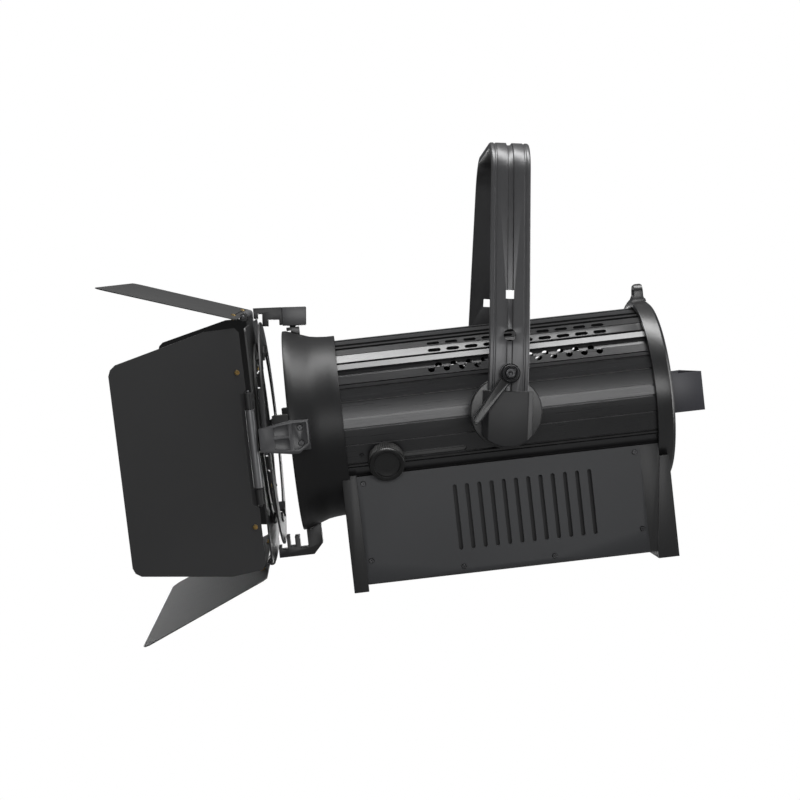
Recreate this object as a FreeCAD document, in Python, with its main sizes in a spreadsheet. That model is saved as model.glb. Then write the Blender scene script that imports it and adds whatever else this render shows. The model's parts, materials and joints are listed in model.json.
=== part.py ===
import FreeCAD, Part
import math
import os
import re

import Sketcher

# A zoom spotlight with a four-leaf barn door, hung from a yoke.
# Every piece is drawn about the tilt pivot: X runs back along the barrel, Y to the far side, Z up.
# "near" is the side of the lock lever and the zoom knob, at -Y. The finished pieces are then moved so
# that the origin is the clamp hole in the top of the yoke, at the bottom of the yoke's slot.

DIMS = {
    # yoke
    "pivot_drop": 348.0, "head_tilt": 8.16, "yoke_wide": 50.0, "yoke_thick": 8.0, "slot_deep": 3.0,
    "arm_out": 174.0, "arm_top_out": 113.0, "arm_foot": 30.0, "arm_straight": 85.0,
    "yoke_bend": 52.0, "splay_bend": 200.0, "clamp_hole": 6.5, "square_hole": 11.0,
    "square_up": 147.4, "round_hole": 7.8, "round_up": 96.6,
    "cover_wide": 62.0, "cover_face": 49.0, "cover_front": 184.0, "cover_top": 27.0, "cover_round": 42.0,
    # pivot and tilt lock
    "pin_radius": 6.0, "running": 0.05, "disc_radius": 45.4, "disc_back": 148.0, "disc_front": 162.0,
    "boss_radius": 32.0, "washer_radius": 30.0, "gap": 0.3,
    "lever_up": 49.0, "lever_length": 75.0, "lever_angle": 34.0, "lever_low": 187.0, "lever_high": 195.0,
    "hub_radius": 12.0, "spindle_radius": 3.0,
    # barrel
    "barrel_radius": 115.0, "barrel_bore": 108.4, "barrel_front": -214.0, "barrel_rear": 204.0,
    "land": 112.9, "bead": 114.2, "recess": 109.9, "groove": 110.0,
    "vent_radius": 4.5, "vent_pitch": 19.95, "vent_first": -83.6, "vent_up": 33.8, "vent_over": 38.1,
    "oval_long": 17.0, "oval_wide": 7.0, "oval_pitch": 24.25, "oval_first": -76.3, "oval_up": 49.9,
    "oval_over": 58.6,
    # collar and lens
    "collar_front": -273.4, "collar_flange": 134.4, "collar_waist": 121.0, "collar_rear": -204.6,
    "lens_radius": 104.0, "lens_back": -222.0, "lens_deep": 10.0,
    # rear cap
    "cap_radius": 122.3, "cap_front": 198.0, "cap_inner": 210.0, "cap_rear": 221.0, "grille_radius": 44.0,
    "eye_up": 134.3, "eye_radius": 11.5, "eye_hole": 6.0, "eye_foot": 17.0,
    "handle_half": 65.0, "handle_rear": 271.5, "handle_low": -30.3, "handle_top": 21.0, "strip": 3.0,
    # driver box
    "box_half": 99.4, "box_top": -64.7, "box_low": -202.7, "foot_low": -213.6,
    "front_foot": -214.5, "front_seam": -195.3, "rear_seam": 173.0, "rear_foot": 183.0, "box_rear": 210.0,
    "foot_top": -81.0, "baffle_half": 88.0, "baffle_top": -88.0,
    "sheet_thick": 2.0, "slot_first": -71.0, "slot_pitch": 15.96, "slot_wide": 5.5, "slot_top": -91.0,
    "slot_low": -170.5, "panel_plane": 198.0,
    # zoom carriage
    "rod_radius": 5.0, "rod_offset": 84.0, "carriage_radius": 96.0, "carriage_front": -162.0,
    "carriage_rear": -148.0, "knob_place": -155.0, "knob_angle": 22.0, "knob_radius": 23.5,
    "knob_low": 118.0, "knob_high": 138.0, "shaft_radius": 4.0, "zoom_travel": 100.0,
    "sink_radius": 62.0, "fan_half": 46.0, "fan_front": -70.0, "fan_rear": -45.0,
    # accessory holders and barn door
    "plate_front": -302.5, "plate_rear": -300.0, "plate_hole": 114.0, "plate_radius": 150.0,
    "door_turn": 3.63, "frame_front": -314.0, "frame_rear": -312.0, "frame_half": 150.0,
    "hinge_front": -318.0, "hinge_half": 161.2, "hinge_pin": 2.5, "knuckle": 5.0, "leaf_thick": 1.2,
    "side_long": 179.6, "side_root": 152.0, "side_tip": 125.0, "flap_long": 178.0, "flap_root": 175.0,
    "flap_tip": 184.0, "side_open": 31.6, "top_open": 19.1, "bottom_open": 22.6,
    "tube_half": 49.0, "knuckle_start": 51.0, "knuckle_end": 70.0, "strap_long": 22.0, "strap_thick": 1.2,
    "recess_half": 71.0, "recess_deep": 12.0, "tab_near": 22.0, "tab_far": 46.0,
}

doc = FreeCAD.newDocument("zoom_spotlight")
sheet = doc.addObject("Spreadsheet::Sheet", "dims")
for row, (alias, value) in enumerate(DIMS.items(), 1):
    sheet.set(f"A{row}", alias)
    sheet.set(f"B{row}", str(value))
    sheet.setAlias(f"B{row}", alias)
doc.recompute()

V = FreeCAD.Vector
WORD = re.compile(r"[a-z_]+")
TURNS = {
    "x": FreeCAD.Rotation(V(0, 1, 0), 90), "y": FreeCAD.Rotation(V(1, 0, 0), -90),
    "-y": FreeCAD.Rotation(V(1, 0, 0), 90), "z": FreeCAD.Rotation(),
}
PLANES = {"XY": "XY_Plane", "XZ": "XZ_Plane", "YZ": "YZ_Plane"}
nodes = []


def dim(alias):
    return float(sheet.get(alias))


# ---- frames of the groups that move as one ----
YOKE = FreeCAD.Placement(V(0, 0, dim("slot_deep") - dim("pivot_drop")), FreeCAD.Rotation())
HEAD = YOKE.multiply(FreeCAD.Placement(V(), FreeCAD.Rotation(V(0, 1, 0), -dim("head_tilt"))))
DOOR = HEAD.multiply(FreeCAD.Placement(V(), FreeCAD.Rotation(V(1, 0, 0), dim("door_turn"))))


# ---- makers: each takes rules written with the sheet's names ----
def tie(item, path, rule):
    """Bind a property of item to a rule, such as 'disc_front + gap'."""
    text = WORD.sub(lambda found: "dims." + found[0] if found[0] in DIMS else found[0], str(rule))
    item.setExpression(path, text)


def put(item, at, axis="z"):
    """Stand item at a point with its own Z along axis."""
    item.Placement = FreeCAD.Placement(V(), TURNS[axis])
    for letter, rule in zip("xyz", at):
        tie(item, f"Placement.Base.{letter}", rule)
    return item


def block(x_span, y_span, z_span):
    """A box given by its low and high rule along each axis."""
    item = doc.addObject("Part::Box", "block")
    for side, (low, high) in zip(("Length", "Width", "Height"), (x_span, y_span, z_span)):
        tie(item, side, f"({high}) - ({low})")
    return put(item, (x_span[0], y_span[0], z_span[0]))


def rod(at, axis, radius, length):
    """A cylinder that starts at a point and runs along axis."""
    item = doc.addObject("Part::Cylinder", "rod")
    tie(item, "Radius", radius)
    tie(item, "Height", length)
    return put(item, at, axis)


def cone(at, axis, first, last, length):
    item = doc.addObject("Part::Cone", "cone")
    tie(item, "Radius1", first)
    tie(item, "Radius2", last)
    tie(item, "Height", length)
    return put(item, at, axis)


def prism(at, axis, radius, length):
    """A six-sided bolt head."""
    item = doc.addObject("Part::Prism", "prism")
    item.Polygon = 6
    tie(item, "Circumradius", radius)
    tie(item, "Height", length)
    return put(item, at, axis)


def group(items):
    item = doc.addObject("Part::Compound", "group")
    item.Links = items
    return item


def fuse(items):
    item = doc.addObject("Part::MultiFuse", "joined")
    item.Shapes = items
    return item


def common(items):
    item = doc.addObject("Part::MultiCommon", "shared")
    item.Shapes = items
    return item


def cut(base, tools):
    """Base less all the tools."""
    item = doc.addObject("Part::Cut", "cut")
    item.Base = base
    item.Tool = tools[0] if len(tools) == 1 else group(tools)
    return item


def mirrored(base):
    """The same piece on the far side."""
    item = doc.addObject("Part::Mirroring", "mirrored")
    item.Source = base
    item.Normal = V(0, 1, 0)
    return item


def turned(base, at, axis, angle):
    """Base turned about an axis through the pivot and then moved."""
    item = group([base])
    item.Placement = FreeCAD.Placement(V(*at), FreeCAD.Rotation(axis, angle))
    return item


def attach(body, plane, offset):
    """An empty sketch on one of the body's own planes, moved along its normal."""
    sketch = body.newObject("Sketcher::SketchObject", "sketch")
    role = PLANES[plane]
    datum = next(item for item in body.Origin.OriginFeatures if item.Role == role)
    sketch.AttachmentSupport = [(datum, "")]
    sketch.MapMode = "FlatFace"
    tie(sketch, "AttachmentOffset.Base.z", offset)
    return sketch


def outline(sketch, corners):
    """Draw a closed polygon whose corners are all bound to rules."""
    count = len(corners)
    start = [V(50 * math.cos(6.283 * n / count), 50 * math.sin(6.283 * n / count), 0) for n in range(count)]
    for n in range(count):
        sketch.addGeometry(Part.LineSegment(start[n], start[(n + 1) % count]), False)
    for n in range(count):
        sketch.addConstraint(Sketcher.Constraint("Coincident", n, 2, (n + 1) % count, 1))
    for n, corner in enumerate(corners):
        for kind, rule, place in (("DistanceX", corner[0], start[n].x), ("DistanceY", corner[1], start[n].y)):
            index = sketch.addConstraint(Sketcher.Constraint(kind, -1, 1, n, 1, place))
            tie(sketch, f"Constraints[{index}]", rule)


def plate(plane, corners, offset, thick):
    """A polygon pulled out of one of the main planes: XY along +Z, YZ along +X, XZ along -Y."""
    body = doc.addObject("PartDesign::Body", "plate")
    sketch = attach(body, plane, offset)
    outline(sketch, corners)
    pad = body.newObject("PartDesign::Pad", "pad")
    pad.Profile = sketch
    tie(pad, "Length", thick)
    body.Tip = pad
    return body


def spun(corners):
    """A profile of (along X, radius) corners turned about the barrel's axis."""
    body = doc.addObject("PartDesign::Body", "spun")
    sketch = attach(body, "XZ", 0)
    outline(sketch, corners)
    turn = body.newObject("PartDesign::Revolution", "turn")
    turn.Profile = sketch
    turn.ReferenceAxis = (sketch, ["H_Axis"])
    turn.Angle = 360
    body.Tip = turn
    return body


def ring(x_span, inner, outer):
    """A plain washer about the barrel's axis."""
    low, high = x_span
    return spun([(low, inner), (high, inner), (high, outer), (low, outer)])


def screws(points, axis, head, head_high, shank, shank_long):
    """Pan-head screws: their solids and the tools that drill their holes. The head stands along axis."""
    solids, drills = [], []
    sign = -1 if axis == "-y" else 1
    letter = "xyz".index(axis[-1])
    for point in points:
        foot = list(point)
        foot[letter] = f"({point[letter]}) - ({sign}) * ({shank_long})"
        solids.append(fuse([rod(point, axis, head, head_high), rod(foot, axis, shank, shank_long)]))
        drills.append(rod(foot, axis, f"({shank}) + 0.1", f"({shank_long}) + 1"))
    return solids, drills


def shape_feature(shape):
    """A piece whose shape is worked out here from the sheet's values."""
    item = doc.addObject("Part::Feature", "formed")
    item.Shape = shape
    return item


def node(label, items, frame):
    """Name a finished piece and stand it in its group's frame."""
    piece = doc.addObject("Part::Compound", label)
    piece.Label = label
    piece.Links = items
    piece.Placement = frame
    nodes.append(piece)
    return piece


# ---- yoke: one bent extrusion with a slot down its outer face ----
def bent_path(points, radii):
    """Straight runs with an arc of the given radius at every inner corner."""
    edges, last = [], points[0]
    for n, radius in enumerate(radii, 1):
        before = (points[n - 1] - points[n]).normalize()
        after = (points[n + 1] - points[n]).normalize()
        half = before.getAngle(after) / 2
        reach = radius / math.tan(half)
        first, third = points[n] + before * reach, points[n] + after * reach
        middle = points[n] + (before + after).normalize() * (radius / math.sin(half) - radius)
        edges.append(Part.LineSegment(last, first))
        edges.append(Part.Arc(first, middle, third))
        last = third
    edges.append(Part.LineSegment(last, points[-1]))
    return edges


def make_yoke():
    mid = dim("arm_out") - dim("yoke_thick") / 2
    top = dim("pivot_drop") - dim("yoke_thick") / 2
    top_mid = dim("arm_top_out") - dim("yoke_thick") / 2
    side = [V(mid, -dim("arm_foot"), 0), V(mid, dim("arm_straight"), 0), V(top_mid, top, 0)]
    line = [V(-point.x, point.y, 0) for point in side] + side[::-1]
    radii = [dim("splay_bend"), dim("yoke_bend"), dim("yoke_bend"), dim("splay_bend")]
    body = doc.addObject("PartDesign::Body", "yoke_body")
    path = attach(body, "YZ", 0)
    path.addGeometry(bent_path(line, radii), False)
    section = attach(body, "XY", "-arm_foot")
    out, slot, edge = "-arm_out", "-arm_out + slot_deep", "-arm_out + 1"
    half = "yoke_wide / 2"
    outline(section, [
        (f"-{half}", "-arm_out + yoke_thick"), (f"-{half}", edge), (f"1.5 - {half}", out),
        (f"4.5 - {half}", out), (f"5.5 - {half}", edge), (f"7 - {half}", edge), (f"8 - {half}", out),
        (-4, out), (-3, slot), (3, slot), (4, out),
        (f"{half} - 8", out), (f"{half} - 7", edge), (f"{half} - 5.5", edge), (f"{half} - 4.5", out),
        (f"{half} - 1.5", out), (half, edge), (half, "-arm_out + yoke_thick"),
    ])
    doc.recompute()
    sweep = body.newObject("PartDesign::AdditivePipe", "sweep")
    sweep.Profile = section
    sweep.Spine = (path, [f"Edge{n}" for n in range(1, len(path.Geometry) + 1)])
    body.Tip = sweep
    across = ("-arm_out - 5", "arm_out + 5")
    square = block(("-square_hole / 2", "square_hole / 2"), across,
                   ("square_up - square_hole / 2", "square_up + square_hole / 2"))
    holes = [
        rod((0, 0, "pivot_drop - 20"), "z", "clamp_hole", 40), square,
        rod((0, "-arm_out - 5", "round_up"), "y", "round_hole", "2 * arm_out + 10"),
        rod((0, "-arm_out - 5", 0), "y", "pin_radius + running", "2 * arm_out + 10"),
        rod((0, "-arm_out - 5", "lever_up"), "y", "spindle_radius + running", 20),
    ]
    node("yoke_arch", [cut(body, holes)], YOKE)


def make_end_cover():
    """A cast cap that hides the arm's end and the pivot bolt's head."""
    side, face = "cover_wide / 2", "cover_face / 2"
    back, lip = "-disc_front - 4.3", "-cover_front + 6"
    shell = plate("XY", [(f"-{side}", back), (f"-{side}", lip), (f"-{face}", "-cover_front"),
                         (face, "-cover_front"), (side, lip), (side, back)],
                  "-cover_round", "cover_round + cover_top")
    span = ("-cover_front - 1", "-disc_front")
    keep = fuse([rod((0, "-disc_front", 0), "-y", "cover_round", "cover_front - disc_front + 1"),
                 block((f"-{side}", side), span, (0, "cover_top"))])
    arm_room = block(("-yoke_wide / 2 - 0.1", "yoke_wide / 2 + 0.1"), ("-arm_out - 0.1", "-disc_front"),
                     ("-arm_foot - 0.1", "cover_top + 1"))
    head_room = rod((0, "-arm_out", 0), "-y", 11, 8)
    cover = cut(common([shell, keep]), [arm_room, head_room])
    node("end_covers", [cover, mirrored(cover)], YOKE)


def make_pivot():
    """The two tilt pivots: a hex bolt in each arm, a friction washer, and the disc that turns against it."""
    bolt = fuse([rod((0, -128, 0), "-y", "pin_radius", "arm_out - 128"),
                 prism((0, "-arm_out", 0), "-y", 10.4, 7.5)])
    node("pivot_bolts", [bolt, mirrored(bolt)], YOKE)
    bore = rod((0, -100, 0), "-y", "pin_radius + running", 100)
    space = "arm_out - yoke_thick - disc_front - gap"
    washer = cut(rod((0, "-disc_front - gap", 0), "-y", "washer_radius", space),
                 [bore])
    node("friction_washers", [washer, mirrored(washer)], YOKE)
    rim = fuse([rod((0, "-disc_back", 0), "-y", "disc_radius", "disc_front - disc_back - 1"),
                cone((0, "-disc_front + 1", 0), "-y", "disc_radius", "disc_radius - 1", 1)])
    disc = cut(rim, [bore])
    node("tilt_discs", [disc, mirrored(disc)], HEAD)
    barrel = rod((-60, 0, 0), "x", "barrel_radius + 0.1", 120)
    boss = cut(fuse([rod((0, -100, 0), "-y", "boss_radius", "disc_back - 100"),
                     cone((0, -118, 0), "-y", "boss_radius", "boss_radius + 6", 12),
                     rod((0, -100, 0), "-y", "boss_radius + 8", 18)]), [barrel, bore])
    node("trunnion_blocks", [boss, mirrored(boss)], HEAD)


def make_lock_lever():
    """A cranked clamp lever whose spindle pulls a brake shoe on to the near disc."""
    arm = plate("XZ", [(0, -7), (0, 7), ("-lever_length + 3", 5), ("-lever_length", 2),
                       ("-lever_length", -2), ("-lever_length + 3", -5)],
                "lever_low", "lever_high - lever_low")
    tilt = 90 - dim("lever_angle")
    hub_at = (0, 0, dim("lever_up"))
    arm = turned(arm, hub_at, V(0, 1, 0), -tilt)
    start = "arm_out + 0.5"
    hub = fuse([rod((0, f"-({start})", "lever_up"), "-y", "hub_radius", f"lever_high + 1 - ({start})"), arm])
    cap_room = rod((0, "-lever_high + 2", "lever_up"), "-y", 6.05, 10)
    spindle_room = rod((0, -100, "lever_up"), "-y", "spindle_radius + running", "lever_high - 102")
    node("tilt_lever", [cut(hub, [cap_room, spindle_room])], YOKE)
    cap = rod((0, "-lever_high + 2", "lever_up"), "-y", 6, 4.5)
    socket = prism((0, "-lever_high", "lever_up"), "-y", 3, 6)
    node("lever_cap_screw", [cut(cap, [socket])], YOKE)
    node("lever_spindle", [rod((0, "-disc_front - 1", "lever_up"), "-y", "spindle_radius",
                               "lever_high - 2 - disc_front - 1")], YOKE)
    shoe = block((-9, 9), ("-arm_out + yoke_thick + 0.1", "-disc_front - gap"),
                 ("lever_up - 12", "lever_up + 10"))
    node("brake_shoe", [cut(shoe, [spindle_room])], YOKE)


# ---- barrel: a ribbed extrusion with three rows of vents on each side ----
# The extrusion's section from low to high: the angle above level where each stretch starts, in degrees,
# and the name of the height it stands at.
STRETCHES = (
    (-80, "land"), (-40, "barrel_radius"), (-35.2, "groove"), (-33.8, "land"), (-27.6, "groove"),
    (-26.2, "bead"), (-25, "groove"), (-23.6, "land"), (-12, "groove"), (-10.6, "bead"), (-1.4, "groove"),
    (0, "barrel_radius"), (5.2, "groove"), (6.6, "land"), (16.2, "groove"), (17.6, "bead"), (20.6, "land"),
    (25, "groove"), (26.6, "bead"), (28.6, "groove"), (29.8, "land"), (35.6, "recess"),
    (40.6, "barrel_radius"), (45, "recess"), (47.2, "bead"), (54.4, "groove"), (56, "land"),
    (62.6, "groove"), (64.2, "bead"), (66.6, "recess"), (72.2, "land"), (81.8, "groove"), (83, "bead"),
    (90, None),
)


def barrel_section(side):
    """Corners of the section down one side, from low to high angle."""
    corners = []
    for (low, height), (high, _) in zip(STRETCHES, STRETCHES[1:]):
        count = max(1, round((high - low) / 5))
        for n in range(count + 1):
            turn = math.radians(low + (high - low) * n / count)
            point = V(0, side * math.cos(turn), math.sin(turn)) * dim(height)
            if high < 90 or n < count or side < 0:
                corners.append(point)
    return corners


def vent_tools():
    """Round and oval cutters that point straight in at the axis."""
    tools = []
    start, reach = dim("barrel_bore") - 8, 24

    def radial(angle, side):
        turn = math.radians(angle)
        return V(0, side * math.cos(turn), math.sin(turn))

    for side in (-1, 1):
        for row, count, shift in (("vent_up", 12, 0), ("vent_over", 11, 0.5)):
            way = radial(dim(row), side)
            for n in range(count):
                foot = V(dim("vent_first") + (n + shift) * dim("vent_pitch"), 0, 0) + way * start
                tools.append(Part.makeCylinder(dim("vent_radius"), reach, foot, way))
        for row in ("oval_up", "oval_over"):
            way = radial(dim(row), side)
            half = dim("oval_wide") / 2
            run = dim("oval_long") / 2 - half
            for n in range(10):
                middle = V(dim("oval_first") + n * dim("oval_pitch"), 0, 0) + way * start
                ends = [middle + V(run, 0, 0), middle - V(run, 0, 0)]
                across = way.cross(V(1, 0, 0)) * half
                four = [ends[0] + across, ends[1] + across, ends[1] - across, ends[0] - across]
                slab = Part.Face(Part.makePolygon(four + four[:1])).extrude(way * reach)
                tools += [slab] + [Part.makeCylinder(half, reach, end, way) for end in ends]
    return tools


def make_barrel():
    corners = barrel_section(-1) + barrel_section(1)[::-1]
    outer = Part.Face(Part.makePolygon(corners + corners[:1]))
    length = dim("barrel_rear") - dim("barrel_front")
    shell = outer.extrude(V(length, 0, 0))
    shell.translate(V(dim("barrel_front"), 0, 0))
    bore = Part.makeCylinder(dim("barrel_bore"), length + 2, V(dim("barrel_front") - 1, 0, 0), V(1, 0, 0))
    way = V(0, -math.cos(math.radians(dim("knob_angle"))), -math.sin(math.radians(dim("knob_angle"))))
    half, travel = dim("shaft_radius") + 0.5, dim("zoom_travel")
    foot = V(dim("knob_place"), 0, 0) + way * (dim("barrel_bore") - 8)
    across = way.cross(V(1, 0, 0)) * half
    four = [foot + across, foot + across + V(travel, 0, 0), foot - across + V(travel, 0, 0), foot - across]
    slot = [Part.Face(Part.makePolygon(four + four[:1])).extrude(way * 24),
            Part.makeCylinder(half, 24, foot, way), Part.makeCylinder(half, 24, foot + V(travel, 0, 0), way)]
    pieces = shell.cut([bore] + slot + vent_tools())
    solid = max(pieces.Solids, key=lambda item: item.Volume)
    node("barrel_shell", [shape_feature(solid)], HEAD)


def make_collar():
    """The cast front collar, flared to hold the accessory holders."""
    node("front_collar", [spun([
        ("collar_front", "collar_flange - 7"), ("collar_front", "collar_flange"), (-269, "collar_flange"),
        (-262, "collar_flange - 2.2"), (-250, "collar_flange - 6.5"), (-238, "collar_flange - 10.8"),
        (-228, "collar_waist + 1"), (-216, "collar_waist"), ("collar_rear", "collar_waist"),
        ("collar_rear", "barrel_radius + 0.3"), ("barrel_front - 0.2", "barrel_radius + 0.3"),
        ("barrel_front - 0.2", "lens_radius - 6"), ("lens_back + 4", "lens_radius - 6"),
        ("lens_back + 4", "lens_radius + 0.3"), ("lens_back - 14", "lens_radius + 0.3"),
        (-240, "lens_radius + 4"), (-262, "collar_flange - 12"),
    ])], HEAD)
    node("lens_gasket", [ring(("lens_back", "lens_back + 4"), "lens_radius - 6", "lens_radius + 0.2")], HEAD)
    face = "lens_back - lens_deep"
    node("lens_ring", [ring((f"{face} - 3", face), "lens_radius - 5", "lens_radius + 0.2")], HEAD)


def make_lens():
    """A stepped plano-convex lens: a domed middle and eight sloping rings, with the steps to the front."""
    rings, middle = 8, 28.0
    edge = dim("lens_radius") - 5.5
    step = (edge - middle) / rings
    back, face = "lens_back", "lens_back - lens_deep"
    corners = [(back, 0), (back, "lens_radius"), (face, "lens_radius"), (face, edge)]
    for n in range(rings, 0, -1):
        corners.append((f"{face} + 4.5", f"{middle + n * step - (0 if n < rings else 0.4):.3f}"))
        corners.append((f"{face} + 1", f"{middle + (n - 1) * step + 0.4:.3f}"))
    corners += [(f"{face} + 4", f"{middle:.3f}"), (f"{face} + 1.6", 18), (f"{face} + 0.6", 9),
                (f"{face} + 0.2", 0)]
    node("fresnel_lens", [spun(corners)], HEAD)


def make_rear_handle():
    """A flat strip bent to a U, screwed to the rear cap, for aiming the lamp. Gives back its screws."""
    tall = ("handle_low", "handle_top")
    near = block(("cap_rear", "handle_rear"), ("-handle_half", "-handle_half + strip"), tall)
    far = block(("cap_rear", "handle_rear"), ("handle_half - strip", "handle_half"), tall)
    back = block(("handle_rear - strip", "handle_rear"), ("-handle_half", "handle_half"), tall)
    feet = [block(("cap_rear", "cap_rear + strip"), ("-handle_half", -47), tall),
            block(("cap_rear", "cap_rear + strip"), (47, "handle_half"), tall)]
    points = [("cap_rear + strip", y, z) for y in (-54, 54) for z in (-19, 10)]
    heads, drills = screws(points, "x", 4, 2.6, 2, "strip")
    node("rear_handle", [cut(fuse([near, far, back] + feet), drills)], HEAD)
    return heads


def make_rear_cap():
    cap = spun([
        ("cap_front", "barrel_radius + 0.4"), ("cap_front", "cap_radius"), ("cap_rear - 4", "cap_radius"),
        ("cap_rear", "cap_radius - 4"), ("cap_rear", "grille_radius - 3"),
        ("cap_rear - 5", "grille_radius - 3"),
        ("cap_rear - 5", "barrel_bore - 4"), ("cap_inner", "barrel_bore - 4"),
        ("cap_inner", "barrel_radius + 0.4"),
    ])
    points = []
    for n in range(6):
        turn = math.radians(30 + 60 * n)
        points.append(("cap_rear", round(104 * math.cos(turn), 3), round(104 * math.sin(turn), 3)))
    heads, drills = screws(points, "x", 3.6, 2.4, 2, 4)
    node("rear_cap", [cut(cap, drills)], HEAD)
    node("cap_screws", heads + make_rear_handle(), HEAD)
    bars = []
    for n in range(4):
        radius = dim("grille_radius") - 4 - 9.5 * n
        bars.append(ring(("cap_rear + 0.2", "cap_rear + 2.2"), radius - 2.5, radius + 2.5))
    for n in range(3):
        spoke = block(("cap_rear + 0.2", "cap_rear + 2.2"), ("-grille_radius + 3", "grille_radius - 3"),
                      (-2.5, 2.5))
        bars.append(turned(spoke, (0, 0, 0), V(1, 0, 0), 60 * n + 30))
    node("rear_grille", [fuse(bars)], HEAD)
    front_edge, top = "cap_front", "eye_up + eye_radius"
    side = plate("XZ", [
        (f"{front_edge} - 3.5", "cap_radius - 4"), (f"{front_edge} + 3", "cap_radius + 2"),
        (f"{front_edge} + 6.5", "eye_up - 3"), (f"{front_edge} + 7.4", f"{top} - 2"),
        (f"{front_edge} + 10", top),
        (f"{front_edge} + 16.5", top), (f"{front_edge} + 18.6", f"{top} - 2"),
        (f"{front_edge} + 18.4", "cap_radius + 6"), ("cap_rear - 1.5", "cap_radius - 4")],
        "-eye_foot", "2 * eye_foot")
    along, low = ("cap_front - 5", "cap_rear"), "cap_radius - 5"
    front = fuse([rod(("cap_front - 5", 0, "eye_up"), "x", "eye_radius", 30),
                  block(along, ("-eye_radius", "eye_radius"), (low, "eye_up")),
                  block(along, ("-eye_foot", "eye_foot"), (low, "cap_radius + 3"))])
    cap_body = rod(("cap_front - 10", 0, 0), "x", "cap_radius + 0.05", 40)
    hole = rod(("cap_front - 5", 0, "eye_up"), "x", "eye_hole", 40)
    node("safety_eye", [cut(common([side, front]), [cap_body, hole])], HEAD)


# ---- driver box under the barrel ----
def make_end_frames():
    barrel = rod((-250, 0, 0), "x", "barrel_radius + 0.3", 500)
    wide = ("-box_half - 2", "box_half + 2")
    front = block(("front_foot", "front_seam"), wide, ("foot_low", "box_top + 2.5"))
    front_hollow = block(("front_foot + 5", "front_seam + 1"), ("-box_half + 5", "box_half - 5"),
                         ("foot_low + 6", "box_top"))
    collar = rod(("front_foot - 1", 0, 0), "x", "collar_waist + 0.3", "collar_rear - front_foot + 1.2")
    node("front_end_frame", [cut(front, [barrel, collar, front_hollow])], HEAD)
    foot = plate("XZ", [("rear_foot", "foot_low"), ("rear_foot", "box_low"), ("cap_front - 0.4", "foot_top"),
                        ("box_rear", "foot_top"), ("box_rear", "foot_low")],
                 "-box_half - 2", "2 * box_half + 4")
    upper = block(("rear_seam", "cap_front - 0.4"), ("-box_half", "box_half"), ("box_low", "box_top"))
    rear = fuse([upper, foot])
    cap = rod(("cap_front - 0.2", 0, 0), "x", "cap_radius + 0.3", 40)
    rear_hollow = block(("rear_seam - 1", "panel_plane - 2"), ("-box_half + 14", "box_half - 14"),
                        ("box_low + 6", -126))
    panel_room = block(("panel_plane - 2.1", "box_rear + 1"), ("-box_half + 8", "box_half - 8"), (-203, -122))
    node("rear_end_frame", [cut(rear, [barrel, cap, rear_hollow, panel_room])], HEAD)


def make_box_panels():
    wide = ("-box_half", "box_half")
    floor = block(("front_seam", "rear_foot"), wide, ("box_low - sheet_thick", "box_low"))
    baffle = block(("front_seam + 5", "rear_seam - 8"), ("-baffle_half - 1.2", "-baffle_half"),
                   ("box_low - 1", "baffle_top"))
    tray = fuse([floor, baffle, mirrored(baffle)])
    vents = []
    for n in range(8):
        start = f"-90 + {n} * 22"
        vents.append(block((start, f"{start} + 6"), (-60, 60), ("box_low - 5", "box_low + 5")))
    node("bottom_tray", [cut(tray, vents)], HEAD)
    panel = block(("front_seam", "rear_seam"), ("-box_half", "-box_half + sheet_thick"),
                  ("box_low", "box_top"))
    slots = []
    for n in range(12):
        middle = f"slot_first + {n} * slot_pitch"
        half = "slot_wide / 2"
        slots.append(block((f"{middle} - {half}", f"{middle} + {half}"), ("-box_half - 1", "-box_half + 4"),
                           ("slot_low", "slot_top")))
        for end in ("slot_low", "slot_top"):
            slots.append(rod((middle, "-box_half + 4", end), "-y", half, 6))
    places = [(-188, -74), (-188, -174), (-70, -195), (48.6, -195), (166, -73), (166, -173)]
    heads, drills = screws([(x, "-box_half", z) for x, z in places], "-y", 3.5, 2.2, 1.8, "sheet_thick")
    near = cut(panel, slots + drills)
    node("side_panels", [near, mirrored(near)], HEAD)
    node("panel_screws", heads + [mirrored(head) for head in heads], HEAD)
    node("power_supply", [block((-150, 100), (-60, 60), ("box_low + 0.2", -152))], HEAD)
    node("control_board", [block((184, 186), (-72, 72), (-163, -128))], HEAD)


SOCKETS = {"data_sockets": (-66, -30), "power_sockets": (30, 66)}
SOCKET_UP = -183
BUTTON_PLACES = (18, 33, 48, 63)
DISPLAY_UP = -145


def make_rear_panel():
    """The connector panel: four round sockets, a display window and four menu buttons."""
    holes = []
    bore = 9.5
    tall = (SOCKET_UP - 14, SOCKET_UP + 14)
    for label, places in SOCKETS.items():
        pair = []
        for place in places:
            flange = block(("panel_plane", "panel_plane + 2"), (place - 14, place + 14), tall)
            barrel = rod(("panel_plane - 20", place, SOCKET_UP), "x", 11.9, 20.5)
            mouth = rod(("panel_plane - 16", place, SOCKET_UP), "x", bore, 30)
            pair.append(cut(fuse([flange, barrel]), [mouth]))
            holes.append(rod(("panel_plane - 10", place, SOCKET_UP), "x", 12, 20))
        node(label, pair, HEAD)
    for n, place in enumerate(BUTTON_PLACES, 1):
        node(f"menu_button_{n}", [rod(("panel_plane - 3", place, DISPLAY_UP), "x", 3.6, 6)], HEAD)
        holes.append(rod(("panel_plane - 10", place, DISPLAY_UP), "x", 3.9, 20))
    sheet_piece = block(("panel_plane - 2", "panel_plane"), ("-box_half + 8.2", "box_half - 8.2"),
                        (-202.8, -122.2))
    node("connector_panel", [cut(sheet_piece, holes)], HEAD)
    window = block(("panel_plane", "panel_plane + 1.5"), (-66, 0), (DISPLAY_UP - 10, DISPLAY_UP + 10))
    node("display_window", [window],
         HEAD)


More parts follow.
